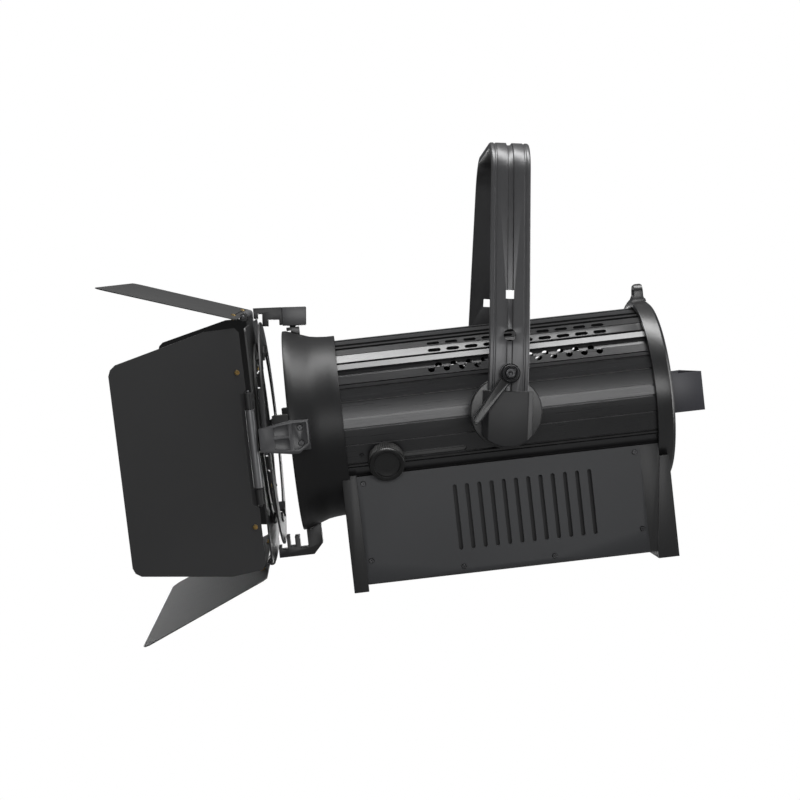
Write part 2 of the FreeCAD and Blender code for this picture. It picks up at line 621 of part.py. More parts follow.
# ---- zoom carriage: the light engine slides on two rods inside the barrel ----
def make_carriage():
    rods, rod_rooms = [], []
    for side in (-1, 1):
        place = f"{side} * rod_offset"
        rods.append(rod((-200, place, 0), "x", "rod_radius", 390))
        rod_rooms.append(rod((-220, place, 0), "x", "rod_radius + running", 450))
    node("guide_rods", rods, HEAD)
    node("rod_brackets", [ring(span, 76, "barrel_bore - 0.3") for span in ((-204, -200), (190, 194))], HEAD)
    disc = rod(("carriage_front", 0, 0), "x", "carriage_radius", "carriage_rear - carriage_front")
    down = dim("knob_angle")
    shaft_room = turned(rod((0, 0, 60), "z", "shaft_radius + running", 60), (dim("knob_place"), 0, 0),
                        V(1, 0, 0), 90 + down)
    bore = rod(("carriage_front - 1", 0, 0), "x", 20, 30)
    node("zoom_carriage", [cut(disc, rod_rooms + [shaft_room, bore])], HEAD)
    base = rod(("carriage_rear", 0, 0), "x", "sink_radius", 6)
    fins = [block(("carriage_rear", "fan_front"), ("-sink_radius", "sink_radius"), (z - 0.9, z + 0.9))
            for z in range(-56, 57, 8)]
    body = rod(("carriage_rear", 0, 0), "x", "sink_radius", "fan_front - carriage_rear")
    node("heat_sink", [fuse([base, common([body, fuse(fins)])])], HEAD)
    node("led_module", [fuse([rod(("carriage_front - 3", 0, 0), "x", 32, 3),
                              rod(("carriage_front - 4.5", 0, 0), "x", 14, 2)])], HEAD)
    front = "carriage_front - 3"
    node("led_optic", [spun([(front, 16), (front, 30), (f"{front} - 14", 30), (f"{front} - 19", 24),
                             (f"{front} - 22", 14), (f"{front} - 23", 0), (f"{front} - 8", 0),
                             (f"{front} - 6", 10)])], HEAD)
    half = "fan_half"
    box = block(("fan_front", "fan_rear"), (f"-{half}", half), (f"-{half}", half))
    tunnel = rod(("fan_front - 1", 0, 0), "x", "fan_half - 2.5", 40)
    strut = [block(("fan_rear - 4", "fan_rear"), (-3, 3), (0, "fan_half - 1"))]
    struts = [turned(strut[0], (0, 0, 0), V(1, 0, 0), 60 + 120 * n) for n in range(3)]
    node("fan_frame", [fuse([cut(box, [tunnel]), rod(("fan_rear - 4", 0, 0), "x", 16, 4)] + struts)], HEAD)
    hub = rod(("fan_front + 1", 0, 0), "x", 15, "fan_rear - fan_front - 6")
    blades = []
    for n in range(7):
        blade = turned(block((-9, 9), (-0.9, 0.9), (12, "fan_half - 3.5")), (0, 0, 0), V(0, 0, 1), 35)
        blade = turned(blade, ((dim("fan_front") + dim("fan_rear")) / 2 - 2.5, 0, 0), V(1, 0, 0), 360 * n / 7)
        blades.append(blade)
    node("fan_rotor", [fuse([hub] + blades)], HEAD)
    at = (dim("knob_place"), 0, 0)
    knob = cut(fuse([rod((0, 0, "knob_low"), "z", "knob_radius", "knob_high - knob_low - 2"),
                     cone((0, 0, "knob_high - 2"), "z", "knob_radius", "knob_radius - 2", 2)]),
               [rod((0, 0, "knob_high - 4"), "z", "knob_radius - 6", 10),
                rod((0, 0, "knob_low - 1"), "z", "shaft_radius", 13)])
    node("zoom_knob", [turned(knob, at, V(1, 0, 0), 90 + down)], HEAD)
    shaft = rod((0, 0, 70), "z", "shaft_radius", "knob_low + 12 - 70")
    node("knob_shaft", [turned(shaft, at, V(1, 0, 0), 90 + down)], HEAD)


# ---- accessory holders on the front collar ----
def collar_tools():
    """The collar's outside, a shade larger, for pieces that sit on it."""
    return [rod(("collar_front - 0.1", 0, 0), "x", "collar_flange + 0.1", 12),
            cone((-262, 0, 0), "x", "collar_flange - 2", "collar_flange - 10.6", 24),
            rod((-240, 0, 0), "x", "collar_flange - 10", 30)]


def make_side_holders():
    """An arm on each side of the collar: a slotted hook, three pockets and a foot held by two screws."""
    front, middle, rear = -310, -271, -248
    outer, inner, pocket_floor = 166, 150, 161
    arm = plate("XZ", [(front, 13.3), (middle, 19.8), (rear, 18.4), (rear, -11.5), (-262, -22), (middle, -22),
                       (front, -15.6)], inner, outer - inner)
    hook = block((front, -293), (-inner - 1, -136), (-15, 13))
    slot = block((-305.5, -297), (-inner - 1.5, -130), (-20, 20))
    foot = block((middle, rear), (-inner - 1, -112), (-19, 18))
    outlines = [[(-291.5, 1.2), (-291.5, 13), (-273, 15.6), (-273, 1.2)],
                [(-291.5, -14), (-291.5, -1.8), (-273, -1.8), (-273, -16.6)],
                [(-268.5, -17), (-268.5, 16), (-250.5, 15.5), (-250.5, -10), (-261, -17)]]
    pockets = [plate("XZ", outline, pocket_floor, outer) for outline in outlines]
    points = [(-258.5, -pocket_floor, 10), (-258.5, -pocket_floor, -9.5)]
    heads, drills = screws(points, "-y", 3.4, 2.4, 1.9, 12)
    near = cut(fuse([arm, hook, foot]), [slot] + pockets + collar_tools() + drills)
    node("side_holders", [near, mirrored(near)], HEAD)
    node("holder_screws", heads + [mirrored(head) for head in heads], HEAD)
    pad = block((-292.5, -272.5), (0.2 - inner, -140), (-12, 27.5))
    node("guide_pads", [pad, mirrored(pad)], HEAD)


def make_bottom_holder():
    teeth = plate("XZ", [
        (-310, -153), (-310, -168), (-263, -168), (-250, -154), (-250, -126), (-262, -130), (-270, -134),
        (-270, -158), (-280.5, -158), (-280.5, -141.5), (-287, -141.5), (-287, -155), (-293.7, -155),
        (-293.7, -140), (-298, -140), (-298, -158), (-306, -158), (-306, -153)], -13, 26)
    node("bottom_holder", [cut(teeth, collar_tools())], HEAD)


def make_latch():
    """The top holder lifts on its post to let an accessory out."""
    post = fuse([block((-267, -250), (-8, 8), (120, 138.6)), rod((-258.5, 0, 138), "z", 4, 19)])
    node("latch_post", [cut(post, collar_tools())], HEAD)
    shell = plate("XZ", [(-271.5, 141.5), (-269.7, 166.6), (-237.8, 164), (-240.4, 139.2)], -13, 26)
    room = rod((-258.5, 0, 138), "z", 5.5, 22)
    node("latch_block", [cut(shell, [room])], HEAD)
    node("latch_teeth", [plate("XZ", [
        (-308.2, 169.2), (-308.8, 155.2), (-304, 154.6), (-303.4, 161), (-296.8, 160.4), (-298.2, 144),
        (-291, 143.2), (-290.2, 152), (-275, 150.4), (-275.6, 143.2), (-271.6, 143), (-269.9, 166.6)],
        -12, 24)], HEAD)


# ---- rotating barn door ----
def make_door_frame():
    node("accessory_plate", [ring(("plate_front", "plate_rear"), "plate_hole", "plate_radius")], HEAD)
    behind = "plate_rear + gap"
    collar = ring(("frame_rear", f"{behind} + 2"), "plate_hole - 3", "plate_hole - 0.5")
    lip = ring((behind, f"{behind} + 2"), "plate_hole - 3", "plate_hole + 7")
    sides = [("tab_near", "tab_far"), ("-tab_far", "-tab_near")]
    ends = [("plate_hole - 25", "plate_hole + 10"), ("-plate_hole - 10", "25 - plate_hole")]
    windows = [block(("frame_rear - 1", f"{behind} + 4"), side, end) for side in sides for end in ends]
    tabs = common([fuse([collar, lip]), group(windows)])
    flange = ring(("frame_rear", "frame_rear + 2.8"), "plate_hole - 6", "plate_hole + 8")
    node("turn_ring", [fuse([flange, tabs])], DOOR)
    half, clip = "frame_half", "frame_half - 5"
    sheet_piece = plate("YZ", [
        (f"-{half}", f"-({clip})"), (f"-({clip})", f"-{half}"), (clip, f"-{half}"), (half, f"-({clip})"),
        (half, clip), (clip, half), (f"-({clip})", half), (f"-{half}", clip)],
        "frame_front", "frame_rear - frame_front")
    mouth = rod(("frame_front - 5", 0, 0), "x", "plate_hole - 4", 20)
    parts, pin_rooms, pins = [sheet_piece], [], []
    for n in range(4):
        flange = block(("frame_front - 2", "frame_rear"), ("-tube_half", "tube_half"),
                       ("frame_half - 2", "hinge_half"))
        tube = rod(("hinge_front", "-tube_half", "hinge_half"), "y", "knuckle + 0.5", "2 * tube_half")
        start, run = "-knuckle_end - 3", "2 * knuckle_end + 6"
        pin = rod(("hinge_front", start, "hinge_half"), "y", "hinge_pin", run)
        room = rod(("hinge_front", start, "hinge_half"), "y", "hinge_pin + 0.02", run)
        for store, item in ((parts, flange), (parts, tube), (pins, pin), (pin_rooms, room)):
            store.append(turned(item, (0, 0, 0), V(1, 0, 0), 90 * n))
    node("door_frame", [cut(fuse(parts), [mouth] + pin_rooms)], DOOR)
    node("hinge_pins", pins, DOOR)


def leaf(plane, corners, axis):
    """A sheet leaf, and the hinge strap riveted to its inner face with a rolled knuckle near each end."""
    sheet_piece = plate(plane, corners, "-leaf_thick / 2", "leaf_thick")
    edge = [("-strap_long", "recess_half"), (-1, "recess_half"), (-1, "knuckle_start"),
            ("-knuckle - 1.3", "knuckle_start")]
    edge += [(along, f"-({across})") for along, across in edge[::-1]]
    strap = plate(plane, edge, "-leaf_thick / 2 - strap_thick", "strap_thick + 0.1")
    spots = {"z": ((0, 0, "knuckle_start"), (0, 0, "-knuckle_end")),
             "y": ((0, "knuckle_start", 0), (0, "-knuckle_end", 0))}[axis]
    rolls = [rod(spot, axis, "knuckle", "knuckle_end - knuckle_start") for spot in spots]
    end = {"z": (0, 0, -120), "y": (0, -120, 0)}[axis]
    return cut(fuse([sheet_piece, strap] + rolls), [rod(end, axis, "hinge_pin + running", 240)])


def leaf_corners(root, tip, length, shoulder):
    """A leaf's outline as (away from the hinge, across): two ears beside a recess, and clipped corners."""
    ear = "recess_half + 1"
    half = [("-recess_deep", "recess_half - 3"), ("-recess_deep + 3", "recess_half"), (-5, ear),
            (-2.5, f"{ear} + 3"), (-2.5, f"{root} - 6"), (-8, root), (shoulder, root),
            (f"-({length}) + 10", f"{tip} + 2"), (f"-({length}) + 3", f"{tip} - 3"),
            (f"-({length})", f"{tip} - 10")]
    other = [(along, f"-({across})") for along, across in half]
    return half + other[::-1]


def make_leaves():
    """The second leaf of each pair is the first one turned over, so that its strap is inside too."""
    side = leaf("XZ", leaf_corners("side_root", "side_tip", "side_long", -50), "z")
    flap = leaf("XY", leaf_corners("flap_root", "flap_tip", "flap_long", -12.5), "y")
    reach, out, over = dim("hinge_front"), dim("hinge_half"), V(1, 0, 0)
    poses = {
        "leaf_near": (side, (reach, -out, 0), V(0, 0, 1), dim("side_open")),
        "leaf_far": (turned(side, (0, 0, 0), over, 180), (reach, out, 0), V(0, 0, 1), -dim("side_open")),
        "leaf_top": (flap, (reach, 0, out), V(0, 1, 0), dim("top_open")),
        "leaf_bottom": (turned(flap, (0, 0, 0), over, 180), (reach, 0, -out), V(0, 1, 0),
                        -dim("bottom_open")),
    }
    for label, (shape, at, axis, angle) in poses.items():
        node(label, [turned(shape, at, axis, angle)], DOOR)


make_yoke()
make_end_cover()
make_pivot()
make_lock_lever()
make_barrel()
make_collar()
make_lens()
make_rear_cap()
make_end_frames()
make_box_panels()
make_rear_panel()
make_carriage()
make_side_holders()
make_bottom_holder()
make_latch()
make_door_frame()
make_leaves()
doc.recompute()

# ---- check everything before writing anything ----
for item in doc.Objects:
    if {"Invalid", "Error"} & set(item.State):
        raise RuntimeError(f"{item.Label} ({item.Name}) is {item.State}")
for piece in nodes:
    if piece.Shape.isNull() or not piece.Shape.isValid() or not piece.Shape.Solids:
        raise RuntimeError(f"{piece.Label} has no valid solid")

os.makedirs("parts", exist_ok=True)
for piece in nodes:
    piece.Shape.exportStep(f"parts/{piece.Label}.step")
print(len(nodes), "nodes written")
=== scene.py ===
import json
import math

import bmesh
import bpy
from mathutils import Matrix, Vector


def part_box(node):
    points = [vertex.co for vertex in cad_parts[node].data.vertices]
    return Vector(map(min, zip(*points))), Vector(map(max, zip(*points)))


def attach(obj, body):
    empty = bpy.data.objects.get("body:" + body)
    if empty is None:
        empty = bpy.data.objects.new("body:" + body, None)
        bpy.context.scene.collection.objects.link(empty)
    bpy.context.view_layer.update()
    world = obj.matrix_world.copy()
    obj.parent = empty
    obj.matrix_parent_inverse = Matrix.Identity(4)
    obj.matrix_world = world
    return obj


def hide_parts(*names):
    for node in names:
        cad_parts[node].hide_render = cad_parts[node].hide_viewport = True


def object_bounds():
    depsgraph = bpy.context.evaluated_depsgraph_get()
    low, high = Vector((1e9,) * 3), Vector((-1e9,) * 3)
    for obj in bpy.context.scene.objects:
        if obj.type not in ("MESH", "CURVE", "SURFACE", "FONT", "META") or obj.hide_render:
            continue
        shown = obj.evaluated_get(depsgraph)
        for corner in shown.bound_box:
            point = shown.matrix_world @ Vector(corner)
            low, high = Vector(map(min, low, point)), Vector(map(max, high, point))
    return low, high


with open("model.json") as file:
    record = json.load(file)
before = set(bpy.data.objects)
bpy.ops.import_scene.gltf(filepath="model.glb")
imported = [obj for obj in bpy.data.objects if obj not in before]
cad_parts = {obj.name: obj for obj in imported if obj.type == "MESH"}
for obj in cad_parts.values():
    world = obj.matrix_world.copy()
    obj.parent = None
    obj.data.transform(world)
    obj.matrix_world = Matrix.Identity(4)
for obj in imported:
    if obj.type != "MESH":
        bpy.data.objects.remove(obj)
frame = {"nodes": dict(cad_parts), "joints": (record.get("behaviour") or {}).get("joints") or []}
cad_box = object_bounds()


# ---- Barrel frame and camera ----
# The lamp hangs tilted a few degrees nose down in its yoke. Pieces of the head are worked out in the
# barrel's own frame: X back along the barrel, Y to the far side, Z up, and the tilt pivot at its origin.
joints = {joint["name"]: joint for joint in frame["joints"]}
pivot = Vector(joints["head_tilt"]["pos_m"])
barrel_back = Vector(joints["door_turn"]["axis"])


def frame_at(origin, back, across):
    """The matrix from a piece's own frame to the part's: X along back and Y along across."""
    up = back.cross(across).normalized()
    axes = Matrix((back, across, up)).transposed().to_4x4()
    return Matrix.Translation(origin) @ axes


barrel_frame = frame_at(pivot, barrel_back, Vector((0, 1, 0)))
tilt = math.asin(barrel_back.z)
camera_turn = math.radians(-2.10)
camera_rise = math.radians(-1.55)
camera_roll = math.radians(1.83)
camera_reach = 2.0625
camera_target = pivot + Vector((-0.1278, 0, 0.0068))
turn = Matrix.Rotation(camera_turn, 3, "Z") @ Matrix.Rotation(camera_rise, 3, "X")
camera_forward = turn @ Vector((0, 1, 0))
level_right, level_up = turn @ Vector((1, 0, 0)), turn @ Vector((0, 0, 1))
camera_right = level_right * math.cos(camera_roll) + level_up * math.sin(camera_roll)
camera_up = level_up * math.cos(camera_roll) - level_right * math.sin(camera_roll)
camera_data = bpy.data.cameras.new("camera")
camera_data.lens = 68.6
camera_data.sensor_width = 36
camera = bpy.data.objects.new("camera", camera_data)
camera_axes = Matrix((camera_right, camera_up, -camera_forward)).transposed().to_4x4()
camera.matrix_world = Matrix.Translation(camera_target - camera_forward * camera_reach) @ camera_axes
bpy.context.scene.collection.objects.link(camera)
bpy.context.scene.camera = camera


# ---- Studio ----
# A plain pale floor well below the hanging lamp, a white room, one broad softbox overhead, a weaker one
# in front and one low on the far side, and a tall one to the left and to the right.
bpy.context.scene.view_settings.view_transform = "Standard"


def node_tree_of(owner):
    """Turn nodes on and hand back the empty tree."""
    owner.use_nodes = True
    owner.node_tree.nodes.clear()
    return owner.node_tree


def add_node(tree, kind, settings=None, **inputs):
    """Add a shader or geometry node, set its properties, and set or link its inputs by name."""
    item = tree.nodes.new(kind)
    for name, value in (settings or {}).items():
        setattr(item, name, value)
    for name, value in inputs.items():
        socket = item.inputs[name.replace("_", " ")]
        if isinstance(value, bpy.types.NodeSocket):
            tree.links.new(value, socket)
        else:
            socket.default_value = value
    return item


def worked_out(tree, operation, first, second=None):
    """A Math node in a shader or Geometry Nodes tree. Gives back its result socket."""
    item = tree.nodes.new("ShaderNodeMath")
    item.operation = operation
    for socket, value in zip(item.inputs, (first, second)):
        if isinstance(value, bpy.types.NodeSocket):
            tree.links.new(value, socket)
        elif value is not None:
            socket.default_value = value
    return item.outputs[0]


def seen_apart(tree, cast, seen, output):
    """Show the camera one shader and every other ray another."""
    ray = add_node(tree, "ShaderNodeLightPath")
    mix = tree.nodes.new("ShaderNodeMixShader")
    tree.links.new(ray.outputs["Is Camera Ray"], mix.inputs[0])
    tree.links.new(cast.outputs[0], mix.inputs[1])
    tree.links.new(seen.outputs[0], mix.inputs[2])
    add_node(tree, output, Surface=mix.outputs[0])


room = bpy.data.worlds.new("white_room")
bpy.context.scene.world = room
room_tree = node_tree_of(room)
seen = add_node(room_tree, "ShaderNodeLightPath")
seen_white = add_node(room_tree, "ShaderNodeBackground", Color=(1, 1, 1, 1), Strength=1.0)
cast_white = add_node(room_tree, "ShaderNodeBackground", Color=(0.93, 0.96, 1, 1), Strength=0.12)
seen_apart(room_tree, cast_white, seen_white, "ShaderNodeOutputWorld")

floor_half = 14.0
floor_drop = 0.55
floor_level = cad_box[0][2] - floor_drop
floor_mesh = bpy.data.meshes.new("floor")
floor_mesh.from_pydata([(-floor_half, -floor_half, floor_level), (floor_half, -floor_half, floor_level),
                        (floor_half, floor_half, floor_level), (-floor_half, floor_half, floor_level)],
                       [], [(0, 1, 2, 3)])
floor = bpy.data.objects.new("floor", floor_mesh)
bpy.context.scene.collection.objects.link(floor)
floor_paint = bpy.data.materials.new("pale_floor")
floor_tree = node_tree_of(floor_paint)
floor_seen = add_node(floor_tree, "ShaderNodeEmission", Color=(1, 1, 1, 1), Strength=1.0)
floor_matt = add_node(floor_tree, "ShaderNodeBsdfPrincipled", Base_Color=(0.25, 0.25, 0.25, 1), Roughness=0.9)
seen_apart(floor_tree, floor_matt, floor_seen, "ShaderNodeOutputMaterial")
floor_mesh.materials.append(floor_paint)


def softbox(name, place, width, height, watts):
    """A rectangular area light that faces the lamp."""
    light = bpy.data.lights.new(name, "AREA")
    light.shape = "RECTANGLE"
    light.size, light.size_y, light.energy = width, height, watts
    item = bpy.data.objects.new(name, light)
    item.location = Vector(place)
    item.rotation_euler = (pivot - Vector(place)).to_track_quat("-Z", "Y").to_euler()
    bpy.context.scene.collection.objects.link(item)


softbox("softbox_overhead", (-0.05, -0.10, 1.9), 2.6, 0.8, 84)
softbox("softbox_front", (0.1, -3.0, 0.1), 2.2, 0.7, 30)
softbox("softbox_left", (-2.4, -1.5, 0.5), 0.35, 1.6, 6)
softbox("softbox_right", (2.4, -0.15, 0.05), 0.6, 1.6, 24)
softbox("softbox_far", (-0.5, 2.7, -0.75), 2.2, 0.6, 24)


# ---- Barrel shell ----
# The lamp's body is a black anodised aluminium extrusion, ribbed along its length, with two rows of
# oval vents and two rows of round vents drilled in each side.
def new_group(name, inputs, outputs):
    """An empty shader node group with named sockets. Each input is (socket type, default)."""
    tree = bpy.data.node_groups.new(name, "ShaderNodeTree")
    for label, (kind, value) in inputs.items():
        socket = tree.interface.new_socket(name=label, in_out="INPUT", socket_type=kind)
        socket.default_value = value
    for label, kind in outputs.items():
        tree.interface.new_socket(name=label, in_out="OUTPUT", socket_type=kind)
    return tree, tree.nodes.new("NodeGroupInput"), tree.nodes.new("NodeGroupOutput")


FLOAT, VECTOR = "NodeSocketFloat", "NodeSocketVector"

# worn corners: where the shading normal of a rounded corner leaves the flat one, broken up by noise
edge_wear, wear_in, wear_out = new_group(
    "edge_wear", {"Radius": (FLOAT, 0.0006), "Amount": (FLOAT, 0.5), "Patch": (FLOAT, 60.0)}, {"Mask": FLOAT})
corner = add_node(edge_wear, "ShaderNodeBevel", {"samples": 4}, Radius=wear_in.outputs["Radius"])
flat = add_node(edge_wear, "ShaderNodeNewGeometry")
facing = edge_wear.nodes.new("ShaderNodeVectorMath")
facing.operation = "DOT_PRODUCT"
edge_wear.links.new(corner.outputs[0], facing.inputs[0])
edge_wear.links.new(flat.outputs["Normal"], facing.inputs[1])
rounding = add_node(edge_wear, "ShaderNodeMapRange", Value=facing.outputs["Value"],
                    From_Min=0.995, From_Max=0.90)
place = add_node(edge_wear, "ShaderNodeTexCoord")
patches = add_node(edge_wear, "ShaderNodeTexNoise", Vector=place.outputs["Object"],
                   Scale=wear_in.outputs["Patch"], Detail=5.0)
patchy = add_node(edge_wear, "ShaderNodeMapRange", Value=patches.outputs["Fac"], From_Min=0.42, From_Max=0.62)
worn = worked_out(edge_wear, "MULTIPLY", rounding.outputs["Result"], patchy.outputs["Result"])
edge_wear.links.new(worked_out(edge_wear, "MULTIPLY", worn, wear_in.outputs["Amount"]), wear_out.inputs["Mask"])

# grain: the orange-peel of powder coat or the drawn streaks of an extrusion, by how far X, Y and Z
# are stretched
metal_grain, grain_in, grain_out = new_group(
    "metal_grain", {"Stretch": (VECTOR, (1, 1, 1)), "Turn": (VECTOR, (0, 0, 0)), "Scale": (FLOAT, 900.0),
                    "Cloud": (FLOAT, 9.0)}, {"Height": FLOAT, "Cloud": FLOAT})
place = add_node(metal_grain, "ShaderNodeTexCoord")
turned = add_node(metal_grain, "ShaderNodeMapping", Vector=place.outputs["Object"],
                  Rotation=grain_in.outputs["Turn"])
drawn = add_node(metal_grain, "ShaderNodeMapping", Vector=turned.outputs[0], Scale=grain_in.outputs["Stretch"])
fine = add_node(metal_grain, "ShaderNodeTexNoise", Vector=drawn.outputs[0], Scale=grain_in.outputs["Scale"],
                Detail=3.0)
cloud = add_node(metal_grain, "ShaderNodeTexNoise", Vector=place.outputs["Object"],
                 Scale=grain_in.outputs["Cloud"], Detail=4.0)
metal_grain.links.new(fine.outputs["Fac"], grain_out.inputs["Height"])
metal_grain.links.new(cloud.outputs["Fac"], grain_out.inputs["Cloud"])

# dust: a thin grey film on what faces up
settled_dust, dust_in, dust_out = new_group("settled_dust", {"Amount": (FLOAT, 0.1)}, {"Mask": FLOAT})
surface = add_node(settled_dust, "ShaderNodeNewGeometry")
split = add_node(settled_dust, "ShaderNodeSeparateXYZ", Vector=surface.outputs["Normal"])
upward = add_node(settled_dust, "ShaderNodeMapRange", Value=split.outputs["Z"], From_Min=0.35, From_Max=1.0)
place = add_node(settled_dust, "ShaderNodeTexCoord")
specks = add_node(settled_dust, "ShaderNodeTexNoise", Vector=place.outputs["Object"], Scale=45.0, Detail=8.0)
film = worked_out(settled_dust, "MULTIPLY", upward.outputs["Result"], specks.outputs["Fac"])
settled_dust.links.new(worked_out(settled_dust, "MULTIPLY", film, dust_in.outputs["Amount"]),
                       dust_out.inputs["Mask"])


def use_group(tree, group, **inputs):
    """Place a node group in a material with its own values."""
    item = tree.nodes.new("ShaderNodeGroup")
    item.node_tree = group
    for name, value in inputs.items():
        item.inputs[name].default_value = value
    return item


def mixed(tree, share, first, second):
    """A colour Mix node between two colours or sockets. Gives back its result socket."""
    item = add_node(tree, "ShaderNodeMix", {"data_type": "RGBA"})
    tree.links.new(share, item.inputs[0])
    for socket, value in ((item.inputs[6], first), (item.inputs[7], second)):
        if isinstance(value, bpy.types.NodeSocket):
            tree.links.new(value, socket)
        else:
            socket.default_value = (*value, 1)
    return item.outputs[2]


dust_grey = (0.42, 0.40, 0.37)


def surface_finish(name, colour, rough, metallic=0.0, grain=900.0, bump=0.05, stretch=(1, 1, 1),
                   turn=(0, 0, 0), wear=0.35, worn_colour=(0.30, 0.30, 0.31), dust=0.05, coat=0.0,
                   rough_spread=0.08, vary=0.25, specular=0.5):
    """A coating, bare metal or moulding, with grain, clouding, worn corners and dust."""
    material = bpy.data.materials.new(name)
    tree = node_tree_of(material)
    grains = use_group(tree, metal_grain, Scale=grain, Stretch=stretch, Turn=turn)
    wearing = use_group(tree, edge_wear, Amount=wear)
    dusty = use_group(tree, settled_dust, Amount=dust)
    clouded = mixed(tree, grains.outputs["Cloud"], [part * (1 - vary) for part in colour],
                    [part * (1 + vary) for part in colour])
    worn = mixed(tree, wearing.outputs["Mask"], clouded, worn_colour)
    dusted = mixed(tree, dusty.outputs["Mask"], worn, dust_grey)
    roughness = add_node(tree, "ShaderNodeMapRange", Value=grains.outputs["Height"],
                         To_Min=max(rough - rough_spread, 0.05), To_Max=min(rough + rough_spread, 1))
    bumps = add_node(tree, "ShaderNodeBump", Height=grains.outputs["Height"], Strength=bump, Distance=0.0003)
    shader = add_node(tree, "ShaderNodeBsdfPrincipled", Base_Color=dusted, Roughness=roughness.outputs["Result"],
                      Normal=bumps.outputs[0], Metallic=metallic, Coat_Weight=coat, Coat_Roughness=0.25,
                      Specular_IOR_Level=specular)
    add_node(tree, "ShaderNodeOutputMaterial", Surface=shader.outputs[0])
    return material


def link_piece(name, mesh, material, body, nodes=()):
    """Put a finished mesh in the scene, hang it on the body it rides on and hide the CAD nodes it stands for."""
    piece = bpy.data.objects.new(name, mesh)
    bpy.context.scene.collection.objects.link(piece)
    if material is not None:
        mesh.materials.clear()
        mesh.materials.append(material)
    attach(piece, body)
    if nodes:
        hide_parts(*nodes)
    return piece


def plain_mesh(item):
    """The evaluated mesh of an object that still has modifiers, as a plain mesh. The object is removed."""
    bpy.context.view_layer.update()
    graph = bpy.context.evaluated_depsgraph_get()
    mesh = bpy.data.meshes.new_from_object(item.evaluated_get(graph), depsgraph=graph)
    bpy.data.objects.remove(item)
    return mesh


def mark_smooth(mesh, sharp=32.0):
    """Shade the faces smooth, with edges sharper than the angle kept crisp."""
    work = bmesh.new()
    work.from_mesh(mesh)
    for face in work.faces:
        face.smooth = True
    for edge in work.edges:
        edge.smooth = len(edge.link_faces) == 2 and edge.calc_face_angle(0) < math.radians(sharp)
    work.to_mesh(mesh)
    work.free()


def rounded_copy(node, width, segments=2, sharp=32.0):
    """A clean copy of a CAD node: triangles merged into whole faces, corners rounded, curved walls smooth."""
    source = frame["nodes"][node].data
    mesh = bpy.data.meshes.new(node + "_finished")
    corners = [vertex.co.copy() for vertex in source.vertices]
    mesh.from_pydata(corners, [], [tuple(face.vertices) for face in source.polygons])
    work = bmesh.new()
    work.from_mesh(mesh)
    bmesh.ops.remove_doubles(work, verts=work.verts, dist=2e-6)
    bmesh.ops.dissolve_limit(work, angle_limit=math.radians(0.6), verts=work.verts, edges=work.edges)
    work.to_mesh(mesh)
    work.free()
    if width:
        item = bpy.data.objects.new(node + "_work", mesh)
        bpy.context.scene.collection.objects.link(item)
        bevel = item.modifiers.new("rounding", "BEVEL")
        bevel.width = width
        bevel.segments = segments
        bevel.limit_method = "ANGLE"
        bevel.angle_limit = math.radians(sharp)
        mesh = plain_mesh(item)
    mark_smooth(mesh, sharp)
    return mesh


def finished_node(node, material, body, width=0.0004, segments=2, sharp=32.0):
    """Show a CAD node through its rounded copy."""
    mesh = rounded_copy(node, width, segments, sharp)
    return link_piece(node + "_finished", mesh, material, body, [node])


barrel_black = surface_finish("barrel_black_anodised", (0.024, 0.024, 0.025), 0.30, metallic=0.35, grain=700.0,
                              stretch=(0.03, 1, 1), turn=(0, tilt, 0), bump=0.10, wear=0.25, coat=0.30)
finished_node("barrel_shell", barrel_black, "head", 0.00025, 1)


# ---- Front collar ----
# A black cast aluminium bell that carries the lens and, on its flared lip, the holders for the
# accessories. It is cast, turned inside, powder coated and pushed over the barrel's front end.
cast_black = surface_finish("cast_black_coat", (0.011, 0.011, 0.0115), 0.34, grain=1500.0, bump=0.22,
                            wear=0.20, coat=0.20, dust=0.04)
collar_satin = surface_finish("collar_satin_coat", (0.009, 0.009, 0.0095), 0.42, grain=1500.0, bump=0.22,
                              wear=0.20, dust=0.02, specular=0.30)
finished_node("front_collar", collar_satin, "head", 0.0008, 2)


# ---- Fresnel lens, gasket and lens ring ----
# The lens is pressed borosilicate glass with fine stepped rings on its front and a slight stipple. It
# sits on a black rubber gasket and a black steel ring holds it in the collar.
def revolved(profile, matrix, segments=96):
    """A solid of revolution about the frame's own X. The profile is (along, radius) from end to end."""
    mesh = bpy.data.meshes.new("revolved")
    work = bmesh.new()
    rows = []
    for along, radius in profile:
        if radius < 1e-7:
            rows.append([work.verts.new((along, 0, 0))])
            continue
        steps = [2 * math.pi * n / segments for n in range(segments)]
        rows.append([work.verts.new((along, radius * math.cos(a), radius * math.sin(a))) for a in steps])
    closed = len(rows[0]) > 1 and len(rows[-1]) > 1
    for first, second in zip(rows, rows[1:] + (rows[:1] if closed else [])):
        for n in range(segments):
            m = (n + 1) % segments
            if len(first) == 1:
                work.faces.new((first[0], second[n], second[m]))
            elif len(second) == 1:
                work.faces.new((first[n], first[m], second[0]))
            else:
                work.faces.new((first[n], first[m], second[m], second[n]))
    bmesh.ops.recalc_face_normals(work, faces=work.faces)
    work.to_mesh(mesh)
    work.free()
    mesh.transform(matrix)
    return mesh


